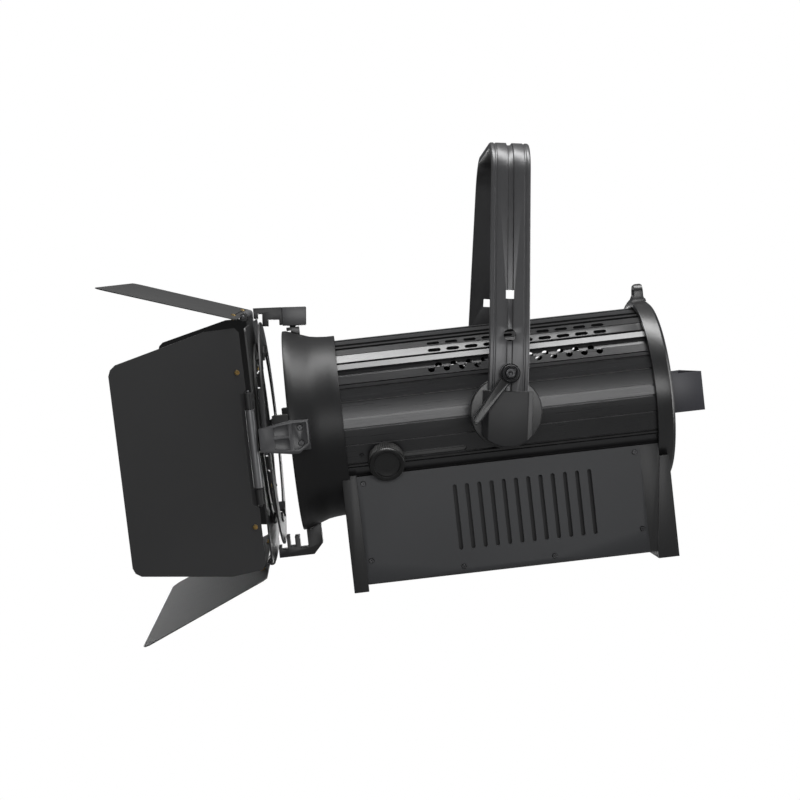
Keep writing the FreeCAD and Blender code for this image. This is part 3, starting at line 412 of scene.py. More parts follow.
def clear_glass(name, tint, rough, ior, stipple=0.0, scale=500.0):
    """Clear glass or silicone, stippled by a bump where it is pressed."""
    material = bpy.data.materials.new(name)
    tree = node_tree_of(material)
    place = add_node(tree, "ShaderNodeTexCoord")
    cells = add_node(tree, "ShaderNodeTexVoronoi", Vector=place.outputs["Object"], Scale=scale)
    haze = add_node(tree, "ShaderNodeTexNoise", Vector=place.outputs["Object"], Scale=30.0, Detail=4.0)
    tinted = mixed(tree, haze.outputs["Fac"], [part * 0.97 for part in tint], tint)
    bumps = add_node(tree, "ShaderNodeBump", Height=cells.outputs["Distance"], Strength=stipple,
                     Distance=0.0004)
    shader = add_node(tree, "ShaderNodeBsdfPrincipled", Base_Color=tinted, Roughness=rough, IOR=ior,
                      Metallic=0.0, Transmission_Weight=1.0, Normal=bumps.outputs[0])
    add_node(tree, "ShaderNodeOutputMaterial", Surface=shader.outputs[0])
    return material


lens_back, lens_face, lens_rim, lens_edge = -0.222, -0.232, 0.104, 0.0985
lens_middle, lens_rings = 0.020, 24
ring_wide = (lens_edge - lens_middle) / lens_rings
ring_deep, ring_crest, ring_lean = 0.0030, 0.0008, 0.0002
lens_profile = [(lens_back, 0), (lens_back, lens_rim), (lens_face, lens_rim), (lens_face, lens_edge)]
for n in range(lens_rings, 0, -1):
    lens_profile.append((lens_face + ring_deep, lens_middle + n * ring_wide - ring_lean))
    lens_profile.append((lens_face + ring_crest, lens_middle + (n - 1) * ring_wide + ring_lean))
lens_profile += [(lens_face + ring_deep, lens_middle), (lens_face + 0.0014, 0.014), (lens_face + 0.0006, 0.007),
                 (lens_face + 0.0003, 0)]
lens_mesh = revolved(lens_profile, barrel_frame, 128)
mark_smooth(lens_mesh, 12)
lens_glass = clear_glass("pressed_lens_glass", (0.93, 0.97, 0.96), 0.03, 1.47, 0.05, 700.0)
link_piece("fresnel_lens_pressed", lens_mesh, lens_glass, "head", ["fresnel_lens"])
black_rubber = surface_finish("black_rubber", (0.010, 0.010, 0.010), 0.70, grain=1200.0, bump=0.15, wear=0.10,
                              worn_colour=(0.06, 0.06, 0.06), dust=0.12)
finished_node("lens_gasket", black_rubber, "head", 0.0003, 1)
black_paint = surface_finish("satin_black_paint", (0.015, 0.015, 0.016), 0.45, grain=1300.0, bump=0.12,
                             wear=0.30, dust=0.05)
finished_node("lens_ring", black_paint, "head", 0.0004, 2)


# ---- Rear cap, grille, safety eye and handle ----
# The cap is a black casting pressed over the barrel's rear end and held by screws. A pressed steel
# grille covers its air opening, the safety eye is cast on its crown, and a bent strip is the handle.
def geometry_tree(name, inputs):
    """An empty Geometry Nodes tree with named inputs. Each input is (socket type, default or None)."""
    tree = bpy.data.node_groups.new(name, "GeometryNodeTree")
    tree.interface.new_socket(name="Geometry", in_out="INPUT", socket_type="NodeSocketGeometry")
    for label, (kind, value) in inputs.items():
        socket = tree.interface.new_socket(name=label, in_out="INPUT", socket_type=kind)
        if value is not None:
            socket.default_value = value
    tree.interface.new_socket(name="Material", in_out="INPUT", socket_type="NodeSocketMaterial")
    tree.interface.new_socket(name="Geometry", in_out="OUTPUT", socket_type="NodeSocketGeometry")
    return tree, tree.nodes.new("NodeGroupInput"), tree.nodes.new("NodeGroupOutput")


def end_tree(tree, source, finish, out):
    """Realize whatever is instanced, give it its material and hand it to the tree's output."""
    real = add_node(tree, "GeometryNodeRealizeInstances", Geometry=source)
    painted = add_node(tree, "GeometryNodeSetMaterial", Geometry=real.outputs[0], Material=finish)
    tree.links.new(painted.outputs[0], out.inputs[0])


def instanced(tree, points, shape):
    """Stand a shape on each point with its Z along the point's own aim."""
    aim = add_node(tree, "GeometryNodeInputNamedAttribute", {"data_type": "FLOAT_VECTOR"}, Name="aim")
    turned = add_node(tree, "FunctionNodeAlignRotationToVector", {"axis": "Z"}, Vector=aim.outputs[0])
    return add_node(tree, "GeometryNodeInstanceOnPoints", Points=points, Instance=shape,
                    Rotation=turned.outputs[0]).outputs[0]


def grown(tree, base, material, **values):
    """Run a Geometry Nodes tree on a base mesh with its own values and keep the plain mesh."""
    item = bpy.data.objects.new(tree.name + "_work", base)
    bpy.context.scene.collection.objects.link(item)
    modifier = item.modifiers.new("shape", "NODES")
    modifier.node_group = tree
    for socket in tree.interface.items_tree:
        label = socket.name.replace(" ", "_")
        if socket.in_out == "INPUT" and label in values:
            modifier[socket.identifier] = values[label]
        if socket.in_out == "INPUT" and label == "Material":
            modifier[socket.identifier] = material
    return plain_mesh(item)


def aimed_points(places):
    """A mesh of loose points, each with the way that it faces. The places are (point, aim)."""
    mesh = bpy.data.meshes.new("points")
    mesh.from_pydata([tuple(point) for point, _ in places], [], [])
    aims = mesh.attributes.new("aim", "FLOAT_VECTOR", "POINT")
    aims.data.foreach_set("vector", [part for _, aim in places for part in aim])
    return mesh


def lifted(tree, shape, height):
    """A shape moved up its own Z."""
    lift = add_node(tree, "ShaderNodeCombineXYZ", Z=height)
    return add_node(tree, "GeometryNodeTransform", Geometry=shape, Translation=lift.outputs[0]).outputs[0]


def loose_parts(node, matrix):
    """The lowest and highest corner of each separate solid of a CAD node, in the frame of matrix."""
    inverse = matrix.inverted()
    work = bmesh.new()
    work.from_mesh(frame["nodes"][node].data)
    bmesh.ops.remove_doubles(work, verts=work.verts, dist=1e-6)
    waiting, found = set(work.verts), []
    while waiting:
        reached, front = set(), [next(iter(waiting))]
        while front:
            vertex = front.pop()
            if vertex in reached:
                continue
            reached.add(vertex)
            front += [edge.other_vert(vertex) for edge in vertex.link_edges]
        waiting -= reached
        spots = [inverse @ vertex.co for vertex in reached]
        found.append(([min(spot[k] for spot in spots) for k in range(3)],
                      [max(spot[k] for spot in spots) for k in range(3)]))
    work.free()
    return sorted(found)


def head_spots(node, matrix, axis, height):
    """Where each screw head of a CAD node sits and faces. It faces out along the axis, or +X."""
    spots = []
    for low, high in loose_parts(node, matrix):
        spot = Vector([(a + b) / 2 for a, b in zip(low, high)])
        side = 1 if axis == 0 or spot[axis] > 0 else -1
        spot[axis] = high[axis] - height if side > 0 else low[axis] + height
        aim = Vector([side if k == axis else 0 for k in range(3)])
        spots.append((matrix @ spot, matrix.to_3x3() @ aim))
    return spots


# pan heads with a cross recess
screw_tree, screw_in, screw_out = geometry_tree("cross_head_screws", {
    "Head Radius": (FLOAT, 0.0035), "Head Height": (FLOAT, 0.0018), "Recess": (FLOAT, 0.0009)})
head_radius, head_height = screw_in.outputs["Head Radius"], screw_in.outputs["Head Height"]
pan = add_node(screw_tree, "GeometryNodeMeshCone", Vertices=24, Radius_Bottom=head_radius, Depth=head_height,
               Radius_Top=worked_out(screw_tree, "MULTIPLY", head_radius, 0.80))
cross_long = worked_out(screw_tree, "MULTIPLY", head_radius, 1.15)
bars = []
for along_x in (True, False):
    size = add_node(screw_tree, "ShaderNodeCombineXYZ", X=cross_long if along_x else screw_in.outputs["Recess"],
                    Y=screw_in.outputs["Recess"] if along_x else cross_long, Z=head_height)
    bar = add_node(screw_tree, "GeometryNodeMeshCube", Size=size.outputs[0])
    bars.append(lifted(screw_tree, bar.outputs[0], head_height))
recessed = screw_tree.nodes.new("GeometryNodeMeshBoolean")
recessed.operation = "DIFFERENCE"
screw_tree.links.new(pan.outputs[0], recessed.inputs[0])
for bar in bars:
    screw_tree.links.new(bar, recessed.inputs[1])
end_tree(screw_tree, instanced(screw_tree, screw_in.outputs["Geometry"], recessed.outputs[0]),
         screw_in.outputs["Material"], screw_out)


def screw_heads(name, node, axis, radius, height):
    """Blackened heads in place of the screws of a CAD node on the head."""
    heads = grown(screw_tree, aimed_points(head_spots(node, barrel_frame, axis, height)), dark_steel,
                  Head_Radius=radius, Head_Height=height)
    link_piece(name, heads, None, "head", [node])


finished_node("rear_cap", cast_black, "head", 0.0012, 3)
dark_steel = surface_finish("blackened_steel", (0.045, 0.045, 0.047), 0.34, metallic=0.85, grain=1600.0,
                            bump=0.10, wear=0.55, worn_colour=(0.35, 0.35, 0.36), dust=0.02)
screw_heads("cap_screw_heads", "cap_screws", 0, 0.0038, 0.002)
finished_node("rear_grille", black_paint, "head", 0.0003, 2)
finished_node("safety_eye", cast_black, "head", 0.0010, 3)
handle_paint = surface_finish("handle_grey_paint", (0.042, 0.042, 0.050), 0.42, grain=1300.0, bump=0.12,
                              wear=0.35, dust=0.05)
finished_node("rear_handle", handle_paint, "head", 0.0005, 2)


# ---- Driver box: end frames, side panels and tray ----
# A sheet steel box under the barrel. Two black castings close its ends and clamp the barrel, and the
# grey powder-coated side panels, slotted for air, are screwed to them over a folded tray.
frame_coat = surface_finish("end_frame_coat", (0.013, 0.013, 0.0135), 0.46, grain=1500.0, bump=0.25, wear=0.22,
                            dust=0.05)
finished_node("front_end_frame", frame_coat, "head", 0.0008, 2)
finished_node("rear_end_frame", frame_coat, "head", 0.0008, 2)
panel_paint = surface_finish("panel_grey_paint", (0.031, 0.032, 0.035), 0.46, grain=1700.0, bump=0.18,
                             wear=0.25, vary=0.12, dust=0.04)
finished_node("side_panels", panel_paint, "head", 0.00035, 1)
tray_paint = surface_finish("tray_black_paint", (0.016, 0.016, 0.017), 0.55, grain=1700.0, bump=0.12, wear=0.15,
                            vary=0.12, dust=0.08)
finished_node("bottom_tray", tray_paint, "head", 0.0003, 1)
screw_heads("panel_screw_heads", "panel_screws", 1, 0.0036, 0.0018)


def dressed_node(node, material):
    """A CAD node that keeps its own shape and takes a finish."""
    mesh = frame["nodes"][node].data
    mesh.materials.clear()
    mesh.materials.append(material)


supply_case = surface_finish("supply_case", (0.32, 0.33, 0.34), 0.35, metallic=0.8, grain=500.0, bump=0.10,
                             stretch=(0.05, 1, 1), wear=0.2)
dressed_node("power_supply", supply_case)
circuit_green = surface_finish("circuit_board_green", (0.02, 0.13, 0.05), 0.35, grain=350.0, bump=0.05,
                               wear=0.0, coat=0.4)
dressed_node("control_board", circuit_green)


# ---- Rear panel ----
# A black steel panel in the rear end frame, with two data sockets in black plastic, a power inlet and
# outlet in blue plastic with three contacts each, a glass display window and four rubber menu buttons.
finished_node("connector_panel", black_paint, "head", 0.0003, 1)
black_plastic = surface_finish("black_moulded_plastic", (0.012, 0.012, 0.013), 0.42, grain=1500.0, bump=0.10,
                               wear=0.12, worn_colour=(0.08, 0.08, 0.08), dust=0.05)
blue_plastic = surface_finish("blue_moulded_plastic", (0.02, 0.08, 0.36), 0.35, grain=1500.0, bump=0.08,
                              wear=0.10, worn_colour=(0.12, 0.2, 0.45), dust=0.04)
finished_node("data_sockets", black_plastic, "head", 0.0005, 2)
finished_node("power_sockets", blue_plastic, "head", 0.0005, 2)
pin_tree, pin_in, pin_out = geometry_tree("contact_pins", {"Pin Radius": (FLOAT, 0.001),
                                                           "Pin Length": (FLOAT, 0.010)})
pin = add_node(pin_tree, "GeometryNodeMeshCylinder", Vertices=14, Radius=pin_in.outputs["Pin Radius"],
               Depth=pin_in.outputs["Pin Length"])
end_tree(pin_tree, instanced(pin_tree, pin_in.outputs["Geometry"], pin.outputs[0]),
         pin_in.outputs["Material"], pin_out)
pale_brass = surface_finish("tarnished_brass", (0.60, 0.42, 0.17), 0.30, metallic=1.0, grain=1200.0, bump=0.06,
                            wear=0.4, worn_colour=(0.85, 0.66, 0.34), dust=0.03)
insert_depth = 0.004
insert_profile = [(-0.0035, 0), (-0.0035, 0.0094), (0.0045, 0.0094), (0.0045, 0)]
pin_along, pin_circle, first_pin = 0.0075, 0.0052, 0.5
socket_inserts, socket_pins = [], []
for node, count in (("data_sockets", 5), ("power_sockets", 3)):
    for low, high in loose_parts(node, barrel_frame):
        centre = Vector(((low[0] + insert_depth), (low[1] + high[1]) / 2, (low[2] + high[2]) / 2))
        socket_inserts.append(revolved(insert_profile, barrel_frame @ Matrix.Translation(centre), 40))
        for k in range(count):
            turn = 2 * math.pi * k / count + first_pin
            spot = centre + Vector((pin_along, pin_circle * math.cos(turn), pin_circle * math.sin(turn)))
            socket_pins.append((barrel_frame @ spot, barrel_back))
link_piece("socket_contact_pins", grown(pin_tree, aimed_points(socket_pins), pale_brass), None, "head", ())


def joined(meshes):
    """Several meshes as one."""
    work = bmesh.new()
    for mesh in meshes:
        work.from_mesh(mesh)
    whole = bpy.data.meshes.new("joined")
    work.to_mesh(whole)
    work.free()
    return whole


insert_mesh = joined(socket_inserts)
mark_smooth(insert_mesh)
link_piece("socket_inserts", insert_mesh, black_plastic, "head", ())
display_glass = surface_finish("display_glass", (0.010, 0.016, 0.022), 0.10, grain=60.0, bump=0.0, wear=0.0,
                               coat=1.0, rough_spread=0.03, dust=0.03)
finished_node("display_window", display_glass, "head", 0.0004, 2)
for n in range(1, 5):
    finished_node(f"menu_button_{n}", black_rubber, f"menu_button_{n}", 0.0006, 3)


# ---- Zoom carriage and light engine ----
# A plate that slides on two ground steel rods inside the barrel. It carries the LED board under a
# moulded optic, the extruded aluminium heat sink behind it, and a fan in a plastic frame.
bare_aluminium = surface_finish("mill_aluminium", (0.52, 0.52, 0.53), 0.34, metallic=1.0, grain=600.0,
                                bump=0.08, stretch=(0.05, 1, 1), wear=0.3, worn_colour=(0.75, 0.75, 0.76))
bright_steel = surface_finish("ground_steel", (0.50, 0.50, 0.51), 0.20, metallic=1.0, grain=900.0, bump=0.05,
                              stretch=(1, 0.1, 0.1), wear=0.2, worn_colour=(0.75, 0.75, 0.76))
for node in ("rod_brackets", "zoom_carriage", "heat_sink"):
    finished_node(node, bare_aluminium, "head" if node == "rod_brackets" else "zoom_carriage", 0.0003, 1)
for node, body in (("guide_rods", "head"), ("knob_shaft", "zoom_knob")):
    finished_node(node, bright_steel, body, 0.0004, 1)
board_white = surface_finish("led_board_white", (0.72, 0.72, 0.70), 0.45, grain=900.0, bump=0.03, wear=0.0,
                             vary=0.05, dust=0.02)
phosphor = surface_finish("phosphor_yellow", (0.78, 0.62, 0.10), 0.40, grain=1500.0, bump=0.05, wear=0.0,
                          vary=0.08, dust=0.0)
finished_node("led_module", board_white, "zoom_carriage", 0.0003, 1)
dot_tree, dot_in, dot_out = geometry_tree("led_dots", {
    "Across": (FLOAT, 0.036), "Rows": ("NodeSocketInt", 9), "Dot": (FLOAT, 0.0026)})
dot_grid = add_node(dot_tree, "GeometryNodeMeshGrid", Size_X=dot_in.outputs["Across"],
                    Size_Y=dot_in.outputs["Across"], Vertices_X=dot_in.outputs["Rows"],
                    Vertices_Y=dot_in.outputs["Rows"])
dot_place = dot_tree.nodes.new("GeometryNodeInputPosition")
dot_far = add_node(dot_tree, "ShaderNodeVectorMath", {"operation": "LENGTH"})
dot_tree.links.new(dot_place.outputs[0], dot_far.inputs[0])
dot_limit = worked_out(dot_tree, "MULTIPLY", dot_in.outputs["Across"], 0.52)
dot_round = add_node(dot_tree, "GeometryNodeDeleteGeometry", Geometry=dot_grid.outputs[0],
                     Selection=worked_out(dot_tree, "GREATER_THAN", dot_far.outputs["Value"], dot_limit))
dot_size = add_node(dot_tree, "ShaderNodeCombineXYZ", X=dot_in.outputs["Dot"], Y=dot_in.outputs["Dot"],
                    Z=worked_out(dot_tree, "MULTIPLY", dot_in.outputs["Dot"], 0.35))
dot_chip = add_node(dot_tree, "GeometryNodeMeshCube", Size=dot_size.outputs[0])
dot_set = add_node(dot_tree, "GeometryNodeInstanceOnPoints", Points=dot_round.outputs[0],
                   Instance=dot_chip.outputs[0])
end_tree(dot_tree, dot_set.outputs[0], dot_in.outputs["Material"], dot_out)
led_front = loose_parts("led_module", barrel_frame)[0][0][0]
chip_lift = 0.0003
z_to_x = Matrix.Rotation(math.pi / 2, 4, "Y")
dots = grown(dot_tree, bpy.data.meshes.new("no_base"), phosphor)
dots.transform(barrel_frame @ Matrix.Translation((led_front - chip_lift, 0, 0)) @ z_to_x)
link_piece("led_chip_grid", dots, None, "zoom_carriage", ())
optic_clear = clear_glass("moulded_silicone_optic", (0.96, 0.97, 0.95), 0.08, 1.42)
finished_node("led_optic", optic_clear, "zoom_carriage", 0.0002, 1)
finished_node("fan_frame", black_plastic, "zoom_carriage", 0.0005, 1)
finished_node("fan_rotor", black_plastic, "fan_rotor", 0.0003, 1)


# ---- Zoom knob ----
# A black plastic hand screw with a straight-knurled rim and a dished face inside two fine rings. Its
# steel shaft runs in a slot in the barrel, behind a pair of felt strips that keep stray light in.
knurl_tree, knurl_in, knurl_out = geometry_tree("knurled_rim", {
    "Radius": (FLOAT, 0.0235), "Height": (FLOAT, 0.014), "Ridges": ("NodeSocketInt", 60),
    "Depth": (FLOAT, 0.0009)})
rim = add_node(knurl_tree, "GeometryNodeMeshCylinder", Radius=knurl_in.outputs["Radius"],
               Depth=knurl_in.outputs["Height"],
               Vertices=worked_out(knurl_tree, "MULTIPLY", knurl_in.outputs["Ridges"], 6))
rim_place = knurl_tree.nodes.new("GeometryNodeInputPosition")
rim_parts = add_node(knurl_tree, "ShaderNodeSeparateXYZ", Vector=rim_place.outputs[0])
rim_turn = worked_out(knurl_tree, "ARCTAN2", rim_parts.outputs["Y"], rim_parts.outputs["X"])
rim_phase = worked_out(knurl_tree, "MULTIPLY", rim_turn, knurl_in.outputs["Ridges"])
rim_wave = worked_out(knurl_tree, "COSINE", rim_phase)
rim_cut = worked_out(knurl_tree, "MULTIPLY", worked_out(knurl_tree, "SUBTRACT", rim_wave, 1.0),
                     worked_out(knurl_tree, "MULTIPLY", knurl_in.outputs["Depth"], 0.5))
rim_out = add_node(knurl_tree, "ShaderNodeCombineXYZ", X=rim_parts.outputs["X"], Y=rim_parts.outputs["Y"])
rim_way = add_node(knurl_tree, "ShaderNodeVectorMath", {"operation": "NORMALIZE"})
knurl_tree.links.new(rim_out.outputs[0], rim_way.inputs[0])
rim_move = add_node(knurl_tree, "ShaderNodeVectorMath", {"operation": "SCALE"}, Scale=rim_cut)
knurl_tree.links.new(rim_way.outputs[0], rim_move.inputs[0])
rim_set = add_node(knurl_tree, "GeometryNodeSetPosition", Geometry=rim.outputs[0], Offset=rim_move.outputs[0])
end_tree(knurl_tree, rim_set.outputs[0], knurl_in.outputs["Material"], knurl_out)

knob_way = Vector(joints["zoom_knob_turn"]["axis"])
knob_reach = 0.120
knob_axis = Vector(joints["zoom_knob_turn"]["pos_m"]) - knob_way * knob_reach
knob_frame = frame_at(knob_axis, knob_way, barrel_back)
knob_foot, knob_rim_top, knob_face = 0.118, 0.1345, 0.138
rubbery_black = surface_finish("knob_black_plastic", (0.007, 0.007, 0.007), 0.44, grain=1500.0, bump=0.12,
                               wear=0.12, worn_colour=(0.07, 0.07, 0.07), dust=0.05)
knob_rim = grown(knurl_tree, bpy.data.meshes.new("no_base"), rubbery_black, Height=knob_rim_top - knob_foot)
knob_rim.transform(knob_frame @ Matrix.Translation(((knob_foot + knob_rim_top) / 2, 0, 0)) @ z_to_x)
mark_smooth(knob_rim, 50)
link_piece("zoom_knob_knurled_rim", knob_rim, None, "zoom_knob", ["zoom_knob"])
face_mesh = revolved([
    (knob_rim_top - 0.003, 0), (knob_rim_top - 0.003, 0.0228), (knob_rim_top + 0.0016, 0.0228),
    (knob_face - 0.0006, 0.0222), (knob_face, 0.0214), (knob_face, 0.0206), (knob_face - 0.0006, 0.0203),
    (knob_face - 0.0006, 0.0199), (knob_face, 0.0196), (knob_face, 0.0188), (knob_face - 0.0006, 0.0185),
    (knob_face - 0.0006, 0.0181), (knob_face, 0.0178), (knob_face - 0.0002, 0.0172), (knob_face - 0.0022, 0.0160),
    (knob_face - 0.0034, 0.0120), (knob_face - 0.0040, 0.0060), (knob_face - 0.0041, 0)], knob_frame, 72)
mark_smooth(face_mesh, 40)
link_piece("zoom_knob_face", face_mesh, rubbery_black, "zoom_knob", ())
felt = surface_finish("grey_felt", (0.10, 0.10, 0.10), 0.95, grain=2200.0, bump=0.6, wear=0.0, vary=0.3,
                      dust=0.1)
felt_radius, felt_thick = 0.1074, 0.0009
slot_start, slot_end = -0.172, -0.038
knob_down = math.asin(-(barrel_frame.to_3x3().inverted() @ knob_way).z)
felt_meshes = []
felt_steps, felt_gap, felt_reach = 4, 0.003, 0.052
for low, high in ((-felt_reach, -felt_gap), (felt_gap, felt_reach)):
    corners, faces = [], []
    for n in range(felt_steps + 1):
        angle = knob_down + low + (high - low) * n / felt_steps
        for radius in (felt_radius, felt_radius + felt_thick):
            for along in (slot_start, slot_end):
                corners.append((along, -radius * math.cos(angle), -radius * math.sin(angle)))
    for n in range(felt_steps):
        a, b = 4 * n, 4 * n + 4
        faces += [(a, a + 1, b + 1, b), (a + 2, b + 2, b + 3, a + 3)]
        faces += [(a, b, b + 2, a + 2), (a + 1, a + 3, b + 3, b + 1)]
    last = 4 * felt_steps
    faces += [(0, 2, 3, 1), (last, last + 1, last + 3, last + 2)]
    strip = bpy.data.meshes.new("felt_strip")
    strip.from_pydata(corners, [], faces)
    felt_meshes.append(strip)
felt_mesh = joined(felt_meshes)
work = bmesh.new()
work.from_mesh(felt_mesh)
bmesh.ops.recalc_face_normals(work, faces=work.faces)
work.to_mesh(felt_mesh)
work.free()
felt_mesh.transform(barrel_frame)
link_piece("knob_slot_felt", felt_mesh, felt, "head", ())
stop_angle = math.radians(-19.0)
stop_way = Vector((0, -math.cos(stop_angle), math.sin(stop_angle)))
stop_along, land_radius = -0.1856, 0.1129
stop_spot = Vector((stop_along, 0, 0)) + stop_way * land_radius
stop_place = (barrel_frame @ stop_spot, barrel_frame.to_3x3() @ stop_way)
stop_head = grown(screw_tree, aimed_points([stop_place]), dark_steel, Head_Radius=0.0030, Head_Height=0.0016)
link_piece("barrel_front_screw", stop_head, None, "head", ())


# ---- Accessory holders and latch ----
# Dark cast arms on both sides of the collar and a third below it make the slots for the barn door and
# a colour frame. The top one is a latch that lifts on its post, and rubber pads steady what slides in.
holder_coat = surface_finish("holder_grey_coat", (0.045, 0.045, 0.048), 0.40, grain=1500.0, bump=0.20,
                             wear=0.35, coat=0.15, dust=0.05)
finished_node("side_holders", holder_coat, "head", 0.0006, 2)
screw_heads("holder_screw_heads", "holder_screws", 1, 0.0040, 0.0019)
finished_node("guide_pads", black_rubber, "head", 0.0008, 2)
ridge_tree, ridge_in, ridge_out = geometry_tree("ridge_row", {
    "Count": ("NodeSocketInt", 8), "Start": (VECTOR, (0, 0, 0)), "Step": (VECTOR, (0.002, 0, 0)),
    "Size": (VECTOR, (0.001, 0.009, 0.001))})
ridge_line = add_node(ridge_tree, "GeometryNodeMeshLine", Count=ridge_in.outputs["Count"],
                      Start_Location=ridge_in.outputs["Start"], Offset=ridge_in.outputs["Step"])
ridge_bar = add_node(ridge_tree, "GeometryNodeMeshCube", Size=ridge_in.outputs["Size"])
ridge_set = add_node(ridge_tree, "GeometryNodeInstanceOnPoints", Points=ridge_line.outputs[0],
                     Instance=ridge_bar.outputs[0])
end_tree(ridge_tree, ridge_set.outputs[0], ridge_in.outputs["Material"], ridge_out)
pad_ridges = []
for low, high in loose_parts("guide_pads", barrel_frame):
    middle = (low[1] + high[1]) / 2
    pad_ridges.append(grown(ridge_tree, bpy.data.meshes.new("no_base"), black_rubber, Count=8,
                            Start=(low[0] + 0.0028, middle, high[2]), Step=(0.0021, 0, 0),
                            Size=(0.0010, high[1] - low[1] - 0.0016, 0.0012)))
pad_mesh = joined(pad_ridges)
pad_mesh.transform(barrel_frame)
link_piece("guide_pad_ridges", pad_mesh, black_rubber, "head", ())
finished_node("bottom_holder", black_paint, "head", 0.0005, 2)
finished_node("latch_post", cast_black, "head", 0.0004, 2)
finished_node("latch_block", holder_coat, "latch", 0.0010, 3)
finished_node("latch_teeth", black_paint, "latch", 0.0004, 2)


# ---- Barn door plate, ring and frame ----
# Laser-cut sheet steel in matt black heat-resistant paint. The round plate drops into the holders, the
# ring turns in its mouth, and the square frame screwed to the ring carries a rolled hinge on each side.
leaf_paint = surface_finish("matt_black_leaf_paint", (0.013, 0.013, 0.0135), 0.50, grain=1700.0, bump=0.16,
                            wear=0.35, worn_colour=(0.22, 0.22, 0.22), vary=0.18, dust=0.06)
finished_node("accessory_plate", leaf_paint, "head", 0.0003, 1)
finished_node("turn_ring", leaf_paint, "door_ring", 0.0003, 1)
finished_node("door_frame", leaf_paint, "door_ring", 0.0003, 1)
finished_node("hinge_pins", dark_steel, "door_ring", 0.0004, 1)
door_across = Vector(joints["leaf_top_swing"]["axis"])
door_frame = frame_at(pivot, barrel_back, door_across)
hinge_front, hinge_half, tube_half = -0.318, 0.1612, 0.049
hinge_grey = surface_finish("zinc_grey_hinge", (0.20, 0.20, 0.205), 0.36, metallic=0.7, grain=900.0, bump=0.08,
                            wear=0.4, worn_colour=(0.45, 0.45, 0.46), dust=0.03)
tube_profile = [(-tube_half, 0.0030), (-tube_half, 0.0057), (tube_half, 0.0057), (tube_half, 0.0030)]
tubes = []
for n in range(4):
    quarter = Matrix.Rotation(math.pi / 2 * n, 4, "X")
    seat = Matrix.Translation((hinge_front, 0, hinge_half)) @ Matrix.Rotation(math.pi / 2, 4, "Z")
    tubes.append(revolved(tube_profile, door_frame @ quarter @ seat, 28))
tube_mesh = joined(tubes)
mark_smooth(tube_mesh)
link_piece("hinge_tubes", tube_mesh, hinge_grey, "door_ring", ())
frame_face, frame_back = -0.3140, -0.3120
screw_across, screw_up = 0.084, 0.083
corners = [(y, z) for y in (-screw_across, screw_across) for z in (-screw_up, screw_up)]
frame_screws = [(door_frame @ Vector((frame_face, y, z)), -barrel_back) for y, z in corners]
screw_mesh = grown(screw_tree, aimed_points(frame_screws), pale_brass, Head_Radius=0.0036, Head_Height=0.0018)
link_piece("door_frame_screws", screw_mesh, None, "door_ring", ())
nut_tree, nut_in, nut_out = geometry_tree("nuts_on_studs", {
    "Across Corners": (FLOAT, 0.0038), "Nut Height": (FLOAT, 0.0026), "Stud Radius": (FLOAT, 0.0018),
    "Stud Length": (FLOAT, 0.0045)})
nut = add_node(nut_tree, "GeometryNodeMeshCylinder", Vertices=6, Radius=nut_in.outputs["Across Corners"],
               Depth=nut_in.outputs["Nut Height"])
nut_half = worked_out(nut_tree, "MULTIPLY", nut_in.outputs["Nut Height"], 0.5)
stud = add_node(nut_tree, "GeometryNodeMeshCylinder", Vertices=12, Radius=nut_in.outputs["Stud Radius"],
                Depth=nut_in.outputs["Stud Length"])
stud_half = worked_out(nut_tree, "MULTIPLY", nut_in.outputs["Stud Length"], 0.5)
nut_whole = nut_tree.nodes.new("GeometryNodeJoinGeometry")
nut_tree.links.new(lifted(nut_tree, nut.outputs[0], nut_half), nut_whole.inputs[0])
nut_tree.links.new(lifted(nut_tree, stud.outputs[0], stud_half), nut_whole.inputs[0])
end_tree(nut_tree, instanced(nut_tree, nut_in.outputs["Geometry"], nut_whole.outputs[0]),
         nut_in.outputs["Material"], nut_out)
back_nuts = [(door_frame @ Vector((frame_back, y, z)), barrel_back) for y, z in corners]
link_piece("door_frame_nuts", grown(nut_tree, aimed_points(back_nuts), dark_steel, Stud_Length=0.0040), None,
           "door_ring", ())


# ---- Barn door leaves ----
# Four sheet steel leaves in the same matt paint. Each has a steel strap with two rolled knuckles on its
# inner face, held by brass screws whose nuts show on the inside.
beam_ahead, half_sheet = 0.09, 0.0006
screw_out, screw_apart = 0.0115, 0.097
beam_line = door_frame @ Vector((hinge_front - beam_ahead, 0, 0))
for label in ("near", "far", "top", "bottom"):
    finished_node("leaf_" + label, leaf_paint, "leaf_" + label, 0.0003, 1)
    hinge = joints[f"leaf_{label}_swing"]
    root, line = Vector(hinge["pos_m"]), Vector(hinge["axis"]).normalized()
    low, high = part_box("leaf_" + label)
    reach = (Vector(low) + Vector(high)) / 2 - root
    along = (reach - line * reach.dot(line)).normalized()
    inward = along.cross(line)
    if inward.dot(beam_line - root) < 0:
        inward = -inward
    spots = [root + along * screw_out + line * w for w in (-screw_apart, screw_apart)]
    outside = [(spot - inward * half_sheet, -inward) for spot in spots]
    heads = grown(screw_tree, aimed_points(outside), pale_brass, Head_Radius=0.0034, Head_Height=0.0016)
    link_piece(f"leaf_{label}_screws", heads, None, "leaf_" + label, ())
    inside = [(spot + inward * half_sheet, inward) for spot in spots]
    nuts = grown(nut_tree, aimed_points(inside), pale_brass)
    link_piece(f"leaf_{label}_nuts", nuts, None, "leaf_" + label, ())


# ---- Trunnions and tilt discs ----
# Cast blocks bolted to the barrel's sides carry the tilt pins. A turned disc on each is the face that
# the brake shoe presses on, and a plastic washer runs between disc and yoke.
finished_node("trunnion_blocks", cast_black, "head", 0.0008, 2)
finished_node("tilt_discs", cast_black, "head", 0.0010, 3)
finished_node("friction_washers", black_plastic, "yoke", 0.0004, 2)
finished_node("brake_shoe", dark_steel, "yoke", 0.0003, 1)


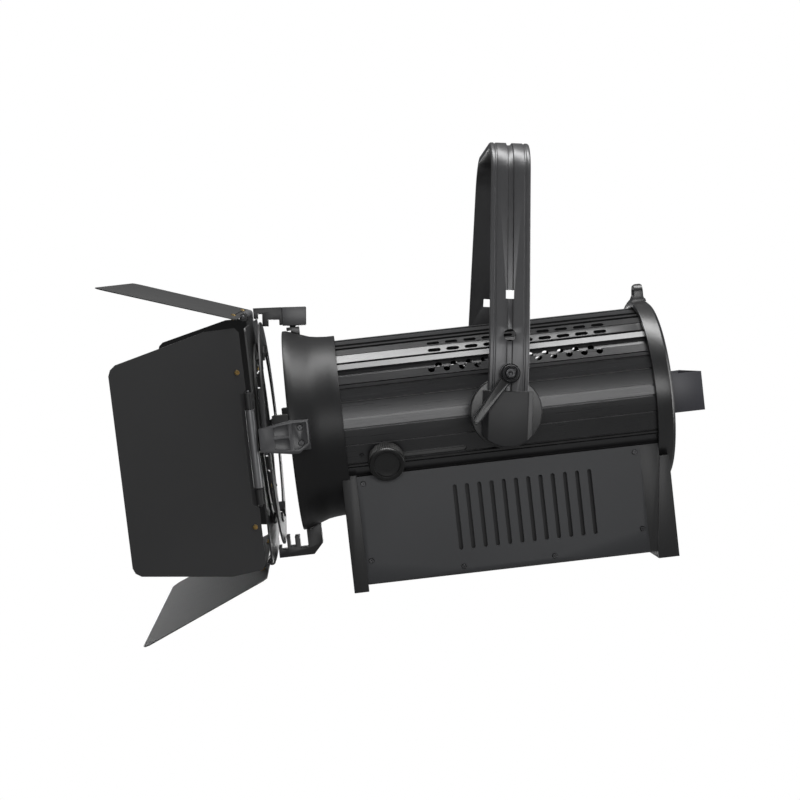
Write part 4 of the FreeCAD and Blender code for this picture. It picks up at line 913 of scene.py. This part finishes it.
# ---- Yoke ----
# A grooved flat bar of dark anodised aluminium, bent to an arch and drilled at the top for a clamp bolt.
# Cast covers close its ends over the pivot bolts.
yoke_grey = surface_finish("yoke_dark_anodised", (0.066, 0.066, 0.068), 0.36, metallic=0.45, grain=700.0,
                           stretch=(1, 1, 0.04), bump=0.10, wear=0.35, coat=0.10, dust=0.05)
finished_node("yoke_arch", yoke_grey, "yoke", 0.0006, 2)
cover_coat = surface_finish("cover_black_coat", (0.016, 0.016, 0.017), 0.44, grain=1500.0, bump=0.20,
                            wear=0.25, dust=0.05, specular=0.35)
finished_node("end_covers", cover_coat, "yoke", 0.0014, 3)
finished_node("pivot_bolts", dark_steel, "yoke", 0.0005, 2)


# ---- Lock lever ----
# A black cast lever, hollowed along its length, on a hub that is turned with fine rings. A socket-head
# screw fixes it to the steel spindle that works the brake.
lever_mesh = rounded_copy("tilt_lever", 0, 0)
work = bmesh.new()
work.from_mesh(lever_mesh)
outer_y = min(vertex.co.y for vertex in work.verts)
broad = [face for face in work.faces if face.normal.y < -0.99 and face.calc_area() > 0.0003]
channel_rim, channel_deep = 0.0014, 0.0013
for face in broad:
    bmesh.ops.inset_region(work, faces=[face], thickness=channel_rim, depth=0, use_even_offset=True)
    bmesh.ops.translate(work, verts=face.verts, vec=(0, channel_deep, 0))
work.to_mesh(lever_mesh)
work.free()
lever_item = bpy.data.objects.new("lever_work", lever_mesh)
bpy.context.scene.collection.objects.link(lever_item)
lever_round = lever_item.modifiers.new("rounding", "BEVEL")
lever_round.width, lever_round.segments, lever_round.limit_method = 0.0003, 1, "ANGLE"
lever_mesh = plain_mesh(lever_item)
mark_smooth(lever_mesh)
link_piece("tilt_lever_finished", lever_mesh, cast_black, "lock_lever", ["tilt_lever"])
hub_spot = Vector(joints["lock_lever_turn"]["pos_m"])
hub_frame = frame_at(Vector((hub_spot.x, outer_y, hub_spot.z)), Vector((0, -1, 0)), Vector((1, 0, 0)))
ring_profile = [(-0.0004, 0.0070), (0.0006, 0.0072), (0.0010, 0.0078), (0.0006, 0.0084), (0.0003, 0.0088),
                (0.0006, 0.0092), (0.0010, 0.0098), (0.0006, 0.0104), (-0.0004, 0.0108)]
ring_mesh = revolved(ring_profile, hub_frame, 48)
mark_smooth(ring_mesh, 50)
link_piece("lever_hub_rings", ring_mesh, cover_coat, "lock_lever", ())
finished_node("lever_cap_screw", dark_steel, "lock_lever", 0.0004, 2)
finished_node("lever_spindle", bright_steel, "lock_lever", 0.0003, 1)
